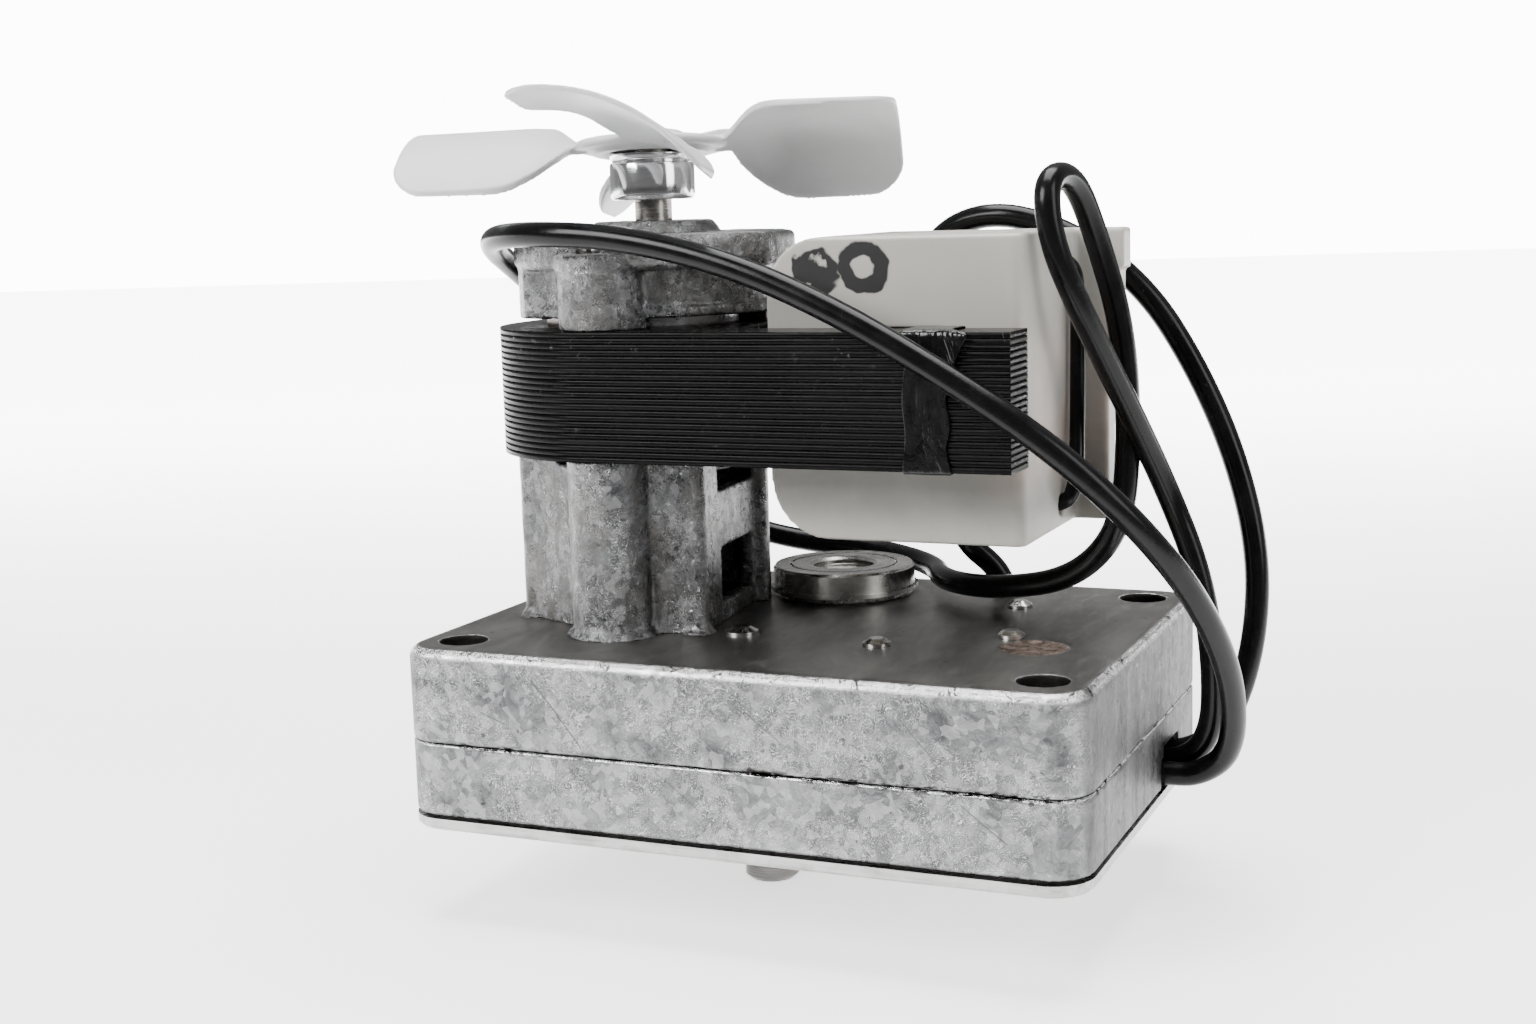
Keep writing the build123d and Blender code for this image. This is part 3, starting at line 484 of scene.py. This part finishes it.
# ================================================================ leads
LEAD_A = [
    (33.0, 11.3, 3.4), (39.0, 11.2, 3.4), (43.2, 10.2, 7.0), (43.8, 8.6, 15.5), (42.2, 9.2, 25.5),
    (38.5, 8.2, 35.5), (35.4, 0.5, 46.5), (32.6, -6.3, 56.0), (30.6, -9.0, 62.6), (30.0, -8.8, 68.8),
    (31.2, -2.6, 69.2), (32.6, 2.2, 62.3), (34.6, 5.2, 52.5), (35.2, 5.4, 41.0), (34.4, 5.0, 31.0),
    (28.6, 6.8, 24.9), (19.0, 9.6, 22.8), (10.8, 14.5, 22.4), (6.8, 23.2, 22.6), (-2.6, 28.0, 23.4),
    (-13.2, 27.0, 24.2), (-22.8, 25.0, 27.0), (-29.2, 22.6, 35.0), (-33.2, 19.0, 45.0), (-35.8, 10.6, 54.0),
    (-36.0, -0.8, 60.0), (-33.0, -13.2, 63.9), (-23.2, -20.6, 64.6), (-11.8, -21.2, 64.0), (0.6, -21.4, 61.2),
    (12.4, -21.6, 56.2), (22.8, -21.6, 50.4), (33.4, -21.2, 43.6), (41.2, -17.4, 35.6), (45.9, -9.8, 26.6),
    (47.7, -1.2, 16.6), (46.4, 6.2, 7.0), (42.4, 8.4, 3.3), (38.4, 8.2, 3.2), (33.6, 8.1, 3.2),
]
LEAD_C = [
    (33.0, 14.6, 3.4), (39.0, 14.6, 3.5), (44.0, 15.6, 7.2), (46.6, 17.2, 16.0), (46.8, 18.4, 26.5),
    (44.0, 19.0, 37.5), (39.6, 18.8, 47.5), (34.0, 18.2, 56.5), (25.6, 17.2, 63.0), (16.0, 16.8, 65.6),
    (8.2, 18.4, 62.0), (6.2, 20.6, 53.5), (7.2, 20.8, 43.5), (9.2, 19.6, 34.0), (12.4, 17.2, 26.8),
    (16.4, 18.6, 23.4), (17.4, 18.9, 19.8), (17.4, 18.9, 16.6),
]
COIL_LEAD = [
    (26.6, 2.4, 33.9), (29.2, 2.4, 33.9), (30.0, 3.0, 36.6), (29.75, 4.3, 42.0), (29.7, 4.9, 49.5),
    (29.7, 5.0, 56.2), (29.2, 4.8, 60.2), (26.8, 4.7, 60.45),
]


def lead(name, pts, dia, mat):
    c = bpy.data.curves.new(name, "CURVE")
    c.dimensions = "3D"
    s = c.splines.new("NURBS")
    s.points.add(len(pts) - 1)
    for p, q in zip(s.points, pts):
        p.co = (q[0] * MM, q[1] * MM, q[2] * MM, 1)
    s.order_u = 3
    s.use_endpoint_u = True
    s.resolution_u = 10
    c.bevel_depth = dia / 2 * MM
    c.bevel_resolution = 8
    c.use_fill_caps = True
    o = link(bpy.data.objects.new(name, c))
    c.materials.append(mat.m)
    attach(o, "housing")
    return o


m_pvc = G("lead_pvc_black", (0.004, 0.004, 0.0045), 0.3, 0.0, Specular_IOR_Level=0.17)
_a = m_pvc.noise(260, 4, 0.6, 0.3)
_f = m_pvc.noise(1800, 3, 0.6)
_d = m_pvc.ramp(m_pvc.noise(900, 4, 0.7, 0.6), (0.62, 0.0), (0.72, 1.0))
_c = m_pvc.mix(m_pvc.ramp(_a, (0.3, 0.0), (0.7, 1.0)), (0.0012, 0.0012, 0.0014), (0.0045, 0.0045, 0.005))
m_pvc.color(m_pvc.mix(m_pvc.math("MULTIPLY", _d, 0.25), _c, (0.03, 0.029, 0.028)))
m_pvc.rough(m_pvc.math("ADD", m_pvc.math("MULTIPLY", _a, 0.20), 0.12))
m_pvc.bump(m_pvc.math("ADD", _f, m_pvc.math("MULTIPLY", _a, 1.5)), 0.10, 0.0001)

lead_a = lead("lead_a_wire", LEAD_A, 2.7, m_pvc)
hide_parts("lead_a")
lead_c = lead("lead_c_wire", LEAD_C, 2.7, m_pvc)
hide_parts("lead_c")
coil_lead = lead("coil_lead_wire", COIL_LEAD, 1.7, m_pvc)
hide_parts("coil_lead")

# ================================================================ castings
m_box = box_metal("gearbox_casting")
top = recast("gearbox_top_case", "gearbox_top_casting", 0.30, 3, 0.02, 120)
assign(top, m_box)
low = recast("gearbox_lower_case", "gearbox_lower_casting", 0.30, 2, 0.02, 120)
assign(low, m_box)

m_br = bracket_metal("bracket_casting")
lbr = recast("lower_bracket", "lower_bracket_casting", 0.26, 4, 0.05, 260)
assign(lbr, m_br)
ubr = recast("upper_bracket", "upper_bracket_casting", 0.24, 4, 0.05, 260)
assign(ubr, m_br)

# ================================================================ coil case
m_ny = plastic("nylon_cream", (0.17, 0.164, 0.146), (0.24, 0.233, 0.212), 0.42, 60, 0.06, sss=0.18, radius=(2.2, 1.6, 1.0))
g = m_ny
o_ = g.xyz()
# copper shows faintly through the wall near the front right edge
glow = g.math("MULTIPLY", g.span(o_[0], 0.0215, 0.0285), g.math("MULTIPLY", g.span(o_[2], 0.034, 0.044), g.span(o_[2], 0.050, 0.060, inv=True)))
glow = g.math("MULTIPLY", glow, g.ramp(g.noise(140, 3, 0.5), (0.35, 0.1), (0.7, 1.0)))
col = g.mix(g.math("MULTIPLY", glow, 0.30), g.col, (0.74, 0.42, 0.32))
low_ = g.span(o_[2], 0.0315, 0.036, inv=True)
col = g.mix(g.math("MULTIPLY", low_, 0.35), col, (0.66, 0.64, 0.58))
speck = g.ramp(g.vor(260), (0.0, 1.0), (0.035, 1.0), (0.05, 0.0))
speck = g.math("MULTIPLY", speck, g.ramp(g.noise(70, 2, 0.5), (0.52, 0.0), (0.58, 1.0)))
col = g.mix(g.math("MULTIPLY", speck, 0.7), col, (0.16, 0.09, 0.05))
# two daubs of black marking paint, a ring and a blot
d1 = g.dist2(11.4, 60.2, "xz", vec=g.warp(0.0016, 420))
ring = g.math("MULTIPLY", g.span(d1, 0.00105, 0.0013), g.span(d1, 0.0026, 0.0029, inv=True))
d2 = g.dist2(6.2, 59.8, "xz", vec=g.warp(0.0030, 330, vec=g.mapping(loc=(0.0, 0.0, 0.0))))
blot = g.math("MULTIPLY", g.span(d2, 0.0024, 0.0027, inv=True), g.ramp(g.noise(420, 3, 0.5), (0.36, 0.0), (0.42, 1.0)))
face = g.span(g.xyz(g.nrm)[1], -0.9, -0.6, inv=True)
mark = g.math("MULTIPLY", g.math("MAXIMUM", ring, blot), face)
col = g.mix(mark, col, (0.002, 0.002, 0.002))
g.color(col)
# painted light: the case is coloured lighter towards the top, from z 36 to 58 mm, with the black marks left dark
g.color(g.mix(g.math("MULTIPLY", g.span(g.xyz()[2], 0.036, 0.058), g.math("SUBTRACT", 0.62, g.math("MULTIPLY", mark, 0.62))), col, (0.50, 0.487, 0.448)))
case = recast("coil_case", "coil_case_moulding", 0.26, 3, 0.03, 90)
assign(case, m_ny)

# ================================================================ fan
m_fan = plastic("fan_white", (0.50, 0.503, 0.508), (0.58, 0.582, 0.585), 0.38, 90, 0.05, sss=0.35, radius=(1.6, 1.6, 1.6))
g = m_fan
scuff = g.ramp(g.noise(330, 5, 0.75, 1.4, vec=g.mapping(scale=(1, 0.5, 1))), (0.60, 0.0), (0.72, 1.0))
gate = g.ramp(g.noise(60, 2, 0.5), (0.5, 0.0), (0.62, 1.0))
col = g.mix(g.math("MULTIPLY", g.math("MULTIPLY", scuff, gate), 0.55), g.col, (0.36, 0.35, 0.34))
dots = g.ramp(g.vor(190), (0.0, 1.0), (0.03, 1.0), (0.045, 0.0))
dots = g.math("MULTIPLY", dots, g.ramp(g.noise(50, 2, 0.5, vec=g.mapping(loc=(0.1, 0, 0))), (0.52, 0.0), (0.6, 1.0)))
col = g.mix(g.math("MULTIPLY", dots, 0.7), col, (0.2, 0.15, 0.12))
g.color(col)

AXX = -18.3
FAN_Z, TILT, TILT_DIR, FAN_AZ, BPITCH = 73.75, math.radians(-5.5), math.radians(23.65), 16.5, math.radians(-22.2)
R0, RT, HC = 6.0, 28.2, 10.8
CAMBER = 3.0


def smooth01(t):
    t = max(0.0, min(1.0, t))
    return t * t * (3 - 2 * t)


def s_hi(r):
    """Edge with the large round inner corner."""
    if r < 8.9:
        v = 1.7
    elif r < 17.2:
        v = 4.0 + (HC - 4.0) * math.sqrt(max(0.0, 1 - ((17.2 - r) / 8.0) ** 2)) if r > 9.2 else 1.7 + 2.3 * (r - 8.9) / 0.3
    else:
        v = HC
    if r > RT - 4.4:
        v = min(v, HC - 4.4 + math.sqrt(max(0.0, 4.4 ** 2 - (r - (RT - 4.4)) ** 2)))
    return v


def s_lo(r):
    """Edge with the straight slanting shoulder."""
    if r < 8.6:
        v = 1.7
    else:
        v = 1.7 + (r - 8.6) * (HC - 1.7) / 6.6
        v = HC - 0.8 * math.log1p(math.exp((HC - v) / 0.8)) if v < HC + 6 else HC
        v = max(1.5, min(HC, v))
    if r > RT - 4.0:
        v = min(v, HC - 4.0 + math.sqrt(max(0.0, 4.0 ** 2 - (r - (RT - 4.0)) ** 2)))
    return v


fan_m = Matrix.Translation(Vector((AXX, 0, FAN_Z))) @ Matrix.Rotation(TILT, 4, Vector((math.cos(TILT_DIR), math.sin(TILT_DIR), 0)))
vs, fs = [], []
stations = [R0 + (RT - R0) * k / 46 for k in range(40)]
t_ = stations[-1]
tip = [t_ + (RT - 0.02 - t_) * math.sin(math.pi / 2 * k / 16) for k in range(1, 17)]
stations += tip
NS = 20
TH = 0.95
for b in range(4):
    az = math.radians(FAN_AZ + 90 * b)
    base_i = len(vs)
    for side in (1, -1):
        for r in stations:
            hi, lo = s_hi(r), -s_lo(r)
            for j in range(NS + 1):
                s = lo + (hi - lo) * j / NS
                th = TH * (1.0 - 0.35 * smooth01((r - 12) / 17))
                camber = CAMBER * (1 - (s / HC) ** 2) * smooth01((r - 8) / 7)
                y, z = s, camber - 0.5 * CAMBER * smooth01((r - 8) / 7) + side * th / 2
                pt = BPITCH * (0.55 + 0.45 * smooth01((r - 7) / 5))
                y2, z2 = y * math.cos(pt) - z * math.sin(pt), y * math.sin(pt) + z * math.cos(pt)
                p = Vector((r * math.cos(az) - y2 * math.sin(az), r * math.sin(az) + y2 * math.cos(az), z2))
                vs.append((fan_m @ p) * MM)
    n_r = len(stations)
    half = n_r * (NS + 1)
    idx = lambda sd, i, j: base_i + sd * half + i * (NS + 1) + j
    for i in range(n_r - 1):
        for j in range(NS):
            fs.append((idx(0, i, j), idx(0, i + 1, j), idx(0, i + 1, j + 1), idx(0, i, j + 1)))
            fs.append((idx(1, i, j + 1), idx(1, i + 1, j + 1), idx(1, i + 1, j), idx(1, i, j)))
        fs.append((idx(0, i, 0), idx(1, i, 0), idx(1, i + 1, 0), idx(0, i + 1, 0)))
        fs.append((idx(0, i + 1, NS), idx(1, i + 1, NS), idx(1, i, NS), idx(0, i, NS)))
    for j in range(NS):
        fs.append((idx(0, 0, j + 1), idx(1, 0, j + 1), idx(1, 0, j), idx(0, 0, j)))
        fs.append((idx(0, n_r - 1, j), idx(1, n_r - 1, j), idx(1, n_r - 1, j + 1), idx(0, n_r - 1, j + 1)))
# disc, its rim and the collar under it
prof = [(2.1, -0.6), (5.1, -0.6), (5.1, -0.95), (6.6, -1.0), (7.3, -0.55), (8.2, -0.5), (8.65, -0.3), (8.8, 0.0), (8.65, 0.35),
        (8.2, 0.55), (5.0, 0.6), (4.2, 0.8), (3.6, 1.5), (3.1, 1.65), (2.1, 1.65)]
SEG = 96
b0 = len(vs)
for i in range(SEG):
    a = 2 * math.pi * i / SEG
    for r, z in prof:
        vs.append((fan_m @ Vector((r * math.cos(a), r * math.sin(a), z))) * MM)
for i in range(SEG):
    j = (i + 1) % SEG
    for k in range(len(prof)):
        l = (k + 1) % len(prof)
        fs.append((b0 + i * len(prof) + k, b0 + j * len(prof) + k, b0 + j * len(prof) + l, b0 + i * len(prof) + l))
fan = mesh_obj("fan_moulding", vs, fs)
bm = bmesh.new(); bm.from_mesh(fan.data)
bmesh.ops.recalc_face_normals(bm, faces=bm.faces)
bm.to_mesh(fan.data); bm.free()
r_ = fan.modifiers.new("voxel", "REMESH"); r_.mode = "VOXEL"; r_.voxel_size = 0.19 * MM; r_.use_smooth_shade = True
s_ = fan.modifiers.new("soft", "SMOOTH"); s_.factor = 0.5; s_.iterations = 5
bake_mods(fan)
for p in fan.data.polygons:
    p.use_smooth = True
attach(fan, "rotor"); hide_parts("fan")
assign(fan, m_fan)

# ================================================================ hub
m_hub = G("hub_polished", (0.86, 0.86, 0.87), 0.1, 1.0)
a = m_hub.noise(2600, 3, 0.6, vec=m_hub.mapping(scale=(0.03, 0.03, 1.0)))
b = m_hub.noise(240, 4, 0.6, 0.6)
m_hub.color(m_hub.mix(m_hub.ramp(b, (0.4, 0.0), (0.75, 1.0)), (0.62, 0.62, 0.63), (0.88, 0.88, 0.89)))
m_hub.rough(m_hub.math("ADD", m_hub.math("MULTIPLY", a, 0.10), m_hub.math("MULTIPLY", b, 0.12)))
m_hub.bump(m_hub.math("ADD", a, b), 0.06, 0.00005)
hub = lathe("fan_hub_collar", [(2.12, 67.75), (4.35, 67.75), (4.62, 67.83), (4.76, 68.05), (4.8, 68.4), (4.8, 71.6), (4.72, 71.85),
                               (4.5, 71.95), (4.5, 72.15), (4.72, 72.25), (4.8, 72.45), (4.8, 72.9), (4.7, 72.98), (2.12, 72.98)], AXX, 0, 128)
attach(hub, "rotor"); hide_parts("fan_hub")
assign(hub, m_hub)
hub.data.set_sharp_from_angle(angle=math.radians(40)) if hasattr(hub.data, "set_sharp_from_angle") else None

# ================================================================ stack
m_stack = G("lamination_black", (0.005, 0.005, 0.005), 0.22, 0.0, Specular_IOR_Level=0.07)
g = m_stack
o_ = g.xyz()
zl = g.math("MULTIPLY", g.math("SUBTRACT", o_[2], 0.0399), 1 / 0.00064)
sheet = g.math("FLOOR", zl)
fr = g.math("FRACT", zl)
tri = g.math("ABSOLUTE", g.math("SUBTRACT", fr, 0.5))
cmb = g.n("ShaderNodeCombineXYZ")
g.l(g.math("MULTIPLY", sheet, 3.17), cmb.inputs[2])
vm = g.n("ShaderNodeVectorMath", operation="MULTIPLY_ADD")
g.l(g.co, vm.inputs[0]); vm.inputs[1].default_value = (60, 60, 0); g.l(cmb.outputs[0], vm.inputs[2])
per = g.noise(1.0, 4, 0.6, 0.4, vec=vm.outputs[0])
grain = g.noise(600, 5, 0.65, vec=g.mapping(scale=(0.25, 0.25, 1.2)))
side = g.span(g.math("ABSOLUTE", g.xyz(g.nrm)[2]), 0.3, 0.6, inv=True)
col = g.mix(g.ramp(per, (0.3, 0.0), (0.75, 1.0)), (0.0012, 0.0012, 0.0013), (0.007, 0.0066, 0.0066))
chip = g.ramp(g.noise(780, 5, 0.75, 0.8), (0.62, 0.0), (0.68, 1.0))
topz = g.span(o_[2], 0.0505, 0.0538)
chip = g.math("MULTIPLY", g.math("MULTIPLY", chip, g.math("ADD", g.math("MULTIPLY", topz, 0.9), 0.06)), g.ramp(g.noise(70, 2, 0.5, vec=g.mapping(loc=(0.03, 0, 0))), (0.47, 0.0), (0.60, 1.0)))
col = g.mix(chip, col, (0.42, 0.40, 0.38))
g.color(col)
g.rough(g.math("ADD", g.math("MULTIPLY", g.ramp(per, (0.3, 0.0), (0.7, 1.0)), 0.22), g.math("ADD", g.math("MULTIPLY", grain, 0.15), 0.10)))
h = g.math("MULTIPLY", g.math("MULTIPLY", g.math("POWER", g.math("MULTIPLY", tri, 2.0), 3.0), -1.0), side)
h = g.math("ADD", h, g.math("MULTIPLY", g.math("MULTIPLY", per, side), 0.9))
h = g.math("ADD", h, g.math("MULTIPLY", grain, 0.25))
h = g.math("ADD", h, g.math("MULTIPLY", chip, -0.5))
g.bump(h, 0.9, 0.00022)
assign(NODES["stator_stack"], m_stack)
assign(NODES["core_bar"], m_stack)

# ================================================================ tape
m_tape = G("tape_black", (0.010, 0.010, 0.011), 0.14, 0.0, Specular_IOR_Level=0.3)
g = m_tape
a = g.noise(220, 4, 0.6, 1.6, vec=g.mapping(scale=(1.0, 1.0, 0.45)))
b = g.noise(1500, 3, 0.6)
g.color(g.mix(g.ramp(a, (0.35, 0.0), (0.7, 1.0)), (0.0015, 0.0015, 0.0017), (0.007, 0.007, 0.0075)))
g.rough(g.math("ADD", g.math("MULTIPLY", a, 0.22), 0.05))
g.bump(g.math("ADD", g.math("MULTIPLY", a, 3.0), g.math("MULTIPLY", b, 0.2)), 0.5, 0.0003)
# the strip goes round the front leg: path in the yz plane, then a lifted flap
T = 0.16
path = [(-11.9, 53.3), (-11.9, 54.16), (-12.6, 54.2), (-15.0, 54.2), (-17.6, 54.2), (-18.12, 54.1), (-18.2, 53.5)]
path += [(-18.2, 53.0 - 12.6 * k / 15) for k in range(16)]
path += [(-18.2, 40.0), (-18.1, 39.75), (-17.6, 39.7), (-15.0, 39.7), (-12.6, 39.7), (-11.9, 39.74), (-11.9, 40.5)]
vs, fs = [], []
NX = 22
for i, (y, z) in enumerate(path):
    for j in range(NX + 1):
        t = j / NX
        x0, x1 = 17.8, 22.55
        if y < -18.0:
            # the torn end on the right runs out in a curl near the top
            k = smooth01((z - 46.5) / 7.2)
            x1 = 22.6 + 0.25 * math.sin(z * 1.3) + 2.1 * k * k
            x0 = 17.9 + 0.15 * math.sin(z * 0.9)
        x = x0 + (x1 - x0) * t
        w = 0.0
        if y < -18.0:
            w = 0.14 * (0.5 + 0.5 * noise.noise(Vector((x * 0.55, 0.0, z * 0.28)))) + 0.10 * abs(noise.noise(Vector((x * 1.3, 3.0, z * 0.4))))
            # crease lifted off the sheets beside the flap
            if x > 21.6:
                w += 0.55 * smooth01((x - 21.6) / 2.6) * smooth01((z - 46.5) / 6.5)
        vs.append((x * MM, (y - w) * MM, z * MM))
for i in range(len(path) - 1):
    for j in range(NX):
        a0 = i * (NX + 1) + j
        fs.append((a0, a0 + 1, a0 + NX + 2, a0 + NX + 1))
tape = mesh_obj("tape_strip_film", vs, fs)
sol = tape.modifiers.new("thick", "SOLIDIFY"); sol.thickness = T * MM; sol.offset = 0.0
sub = tape.modifiers.new("sub", "SUBSURF"); sub.levels = 2; sub.render_levels = 2
bake_mods(tape)
for p in tape.data.polygons:
    p.use_smooth = True
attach(tape, "housing"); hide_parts("tape_strip")
assign(tape, m_tape)

# ================================================================ carried-over CAD nodes
S_, O_ = (-2.34, 15.977), (-5.819, -0.05)
m_shaft = steel("shaft_steel_dark", (0.34, 0.32, 0.30), 0.34, "z", dark=0.45, bump=0.2)
m_stub = steel("stub_steel", (0.20, 0.195, 0.19), 0.3, "z", dark=0.4, bump=0.2, spots=0.5)
m_ring = steel("bearing_steel", (0.56, 0.545, 0.52), 0.36, "ring", center=S_, dark=0.35, bump=0.3, spots=0.4)
m_pin = steel("pin_bright", (0.68, 0.66, 0.63), 0.24, "flat", dark=0.45, bump=0.25, spots=0.25)
m_plate = steel("plate_zinc", (0.46, 0.455, 0.45), 0.4, "flat", dark=0.5, bump=0.25, spots=0.2)
m_screw = steel("screw_zinc", (0.5, 0.49, 0.47), 0.36, "flat", dark=0.5, bump=0.2)
m_gear = steel("gear_steel_oiled", (0.44, 0.43, 0.41), 0.32, "flat", dark=0.5, bump=0.2)
m_wash = steel("washer_steel", (0.55, 0.55, 0.54), 0.35, "flat", dark=0.6, bump=0.15)
m_rot = steel("rotor_steel", (0.30, 0.29, 0.29), 0.35, "z", dark=0.5, bump=0.25)
m_cage = steel("cage_aluminium", (0.66, 0.66, 0.67), 0.45, "flat", dark=0.6, bump=0.3)
m_brass = steel("pinion_brass", (0.72, 0.54, 0.25), 0.32, "z", dark=0.6, bump=0.2)
m_bronze = steel("bronze_sintered", (0.50, 0.34, 0.18), 0.5, "flat", dark=0.55, bump=0.3)
m_copper = steel("copper_enamel", (0.70, 0.27, 0.14), 0.3, "z", dark=0.6, bump=0.4)
# the shading rings are coloured near black: painted shade for the dark gap under the upper bracket
m_rings_painted_shade = steel("copper_painted_shade", (0.07, 0.038, 0.026), 0.4, "z", dark=0.5, bump=0.3)
m_balls = steel("ball_steel", (0.80, 0.80, 0.80), 0.12, "flat", dark=0.85, bump=0.03)
m_fibre = plastic("gear_fibre", (0.23, 0.12, 0.06), (0.34, 0.19, 0.09), 0.6, 260, 0.2)
m_bob = plastic("bobbin_nylon", (0.72, 0.70, 0.62), (0.80, 0.78, 0.70), 0.45, 120, 0.1)
m_gask = plastic("gasket_fibre", (0.03, 0.028, 0.026), (0.07, 0.065, 0.06), 0.85, 500, 0.3)
m_felt = plastic("felt_oiled", (0.30, 0.26, 0.18), (0.42, 0.37, 0.27), 0.95, 800, 0.6)
m_nyw = plastic("washer_nylon", (0.70, 0.67, 0.58), (0.78, 0.75, 0.66), 0.5, 200, 0.1)
table = {
    "base_plate": m_plate, "plate_gasket": m_gask, "coil_bobbin": m_bob, "coil_winding": m_copper, "shading_rings": m_rings_painted_shade,
    "rotor_core": m_rot, "rotor_cage": m_cage, "motor_shaft": m_shaft, "motor_pinion": m_brass, "thrust_washers": m_nyw,
    "lower_bearing": m_bronze, "upper_bearing": m_bronze, "lower_felt_ring": m_felt, "lower_bearing_retainer": m_wash,
    "upper_bearing_retainer": m_wash, "motor_screws": m_screw, "gear_1": m_fibre, "gear_2": m_gear, "gear_3": m_gear,
    "gear_4": m_gear, "gear_5": m_gear, "gear_6": m_gear, "output_gear": m_gear, "output_shaft": m_stub, "output_bush": m_bronze,
    "cross_shaft": m_ring, "cross_shaft_bush": m_bronze, "bearing_outer_ring": m_ring, "bearing_inner_ring": m_ring,
    "bearing_balls": m_balls, "gear_pins": m_pin, "gear_spacers": m_wash,
}
for n, g in table.items():
    assign(NODES[n], g)

# ================================================================ stage
floor_z = -10.75 * MM
fl = mesh_obj("floor", [(-3, -3, floor_z), (3, -3, floor_z), (3, 3, floor_z), (-3, 3, floor_z)], [(0, 1, 2, 3)])
mf = G("floor_white", (0.86, 0.86, 0.86), 0.8, 0.0, Specular_IOR_Level=0.1)
_x, _y, _z = mf.xyz()
_along = mf.math("MINIMUM", mf.math("ADD", mf.math("MULTIPLY", _x, -0.401), mf.math("MULTIPLY", _y, 0.916)), 0.599)
_pale = mf.mix(mf.noise(30, 2), (0.88, 0.88, 0.88), (0.91, 0.91, 0.91))
mf.color(mf.mix(mf.span(_along, -0.125, -0.065), (0.16, 0.16, 0.16), _pale))
mf.b.inputs["Emission Color"].default_value = (1, 1, 1, 1)
mf.l(mf.math("ADD", mf.math("MULTIPLY", mf.span(_along, 0.06, 0.6), 7.0), mf.math("MULTIPLY", mf.span(_along, -0.125, -0.065), 1.4)), mf.b.inputs["Emission Strength"])
assign(fl, mf)
bd = mesh_obj("backdrop", [(-3, 2.0, floor_z), (3, 2.0, floor_z), (3, 2.0, 3), (-3, 2.0, 3)], [(0, 1, 2, 3)])
mb = G("backdrop_white", (0.9, 0.9, 0.9), 0.9, 0.0, Specular_IOR_Level=0.0)
mb.color(mb.mix(mb.noise(3, 2), (0.9, 0.9, 0.9), (0.92, 0.92, 0.92)))
mb.b.inputs["Emission Color"].default_value = (1, 1, 1, 1)
mb.b.inputs["Emission Strength"].default_value = 9.0
assign(bd, mb)
bd.matrix_world = Matrix.Rotation(math.radians(23.65), 4, "Z")
bd.visible_diffuse = bd.visible_glossy = bd.visible_transmission = bd.visible_shadow = False

world = bpy.data.worlds.new("studio")
bpy.context.scene.world = world
world.use_nodes = True
wt = world.node_tree
wt.nodes.clear()
wo = wt.nodes.new("ShaderNodeOutputWorld")
bg = wt.nodes.new("ShaderNodeBackground")
wt.links.new(bg.outputs[0], wo.inputs[0])
tc = wt.nodes.new("ShaderNodeTexCoord")
sp = wt.nodes.new("ShaderNodeSeparateXYZ")
wt.links.new(tc.outputs["Generated"], sp.inputs[0])
mr = wt.nodes.new("ShaderNodeMapRange")
mr.interpolation_type = "SMOOTHSTEP"
wt.links.new(sp.outputs[1], mr.inputs["Value"])
mr.inputs["From Min"].default_value = -0.5
mr.inputs["From Max"].default_value = 0.35
mr.inputs["To Min"].default_value = 0.20
mr.inputs["To Max"].default_value = 0.42
wt.links.new(mr.outputs["Result"], bg.inputs["Strength"])
bg.inputs["Color"].default_value = (1, 1, 1, 1)


def area(name, loc, aim, size, power, size_y=None):
    d = bpy.data.lights.new(name, "AREA")
    d.energy = power
    d.shape = "RECTANGLE"
    d.size = size
    d.size_y = size_y or size
    o = link(bpy.data.objects.new(name, d))
    v = Vector(aim) - Vector(loc)
    o.matrix_world = Matrix.Translation(Vector(loc)) @ v.to_track_quat("-Z", "Y").to_matrix().to_4x4()
    return o


area("key", (-0.35, -0.55, 0.42), (0, 0, 0.03), 0.35, 8.5)
area("side", (0.60, -0.15, 0.30), (0, 0, 0.03), 0.25, 2.4, 0.5)
area("overhead", (0.0, 0.05, 0.65), (0, 0, 0.03), 0.5, 10.0)
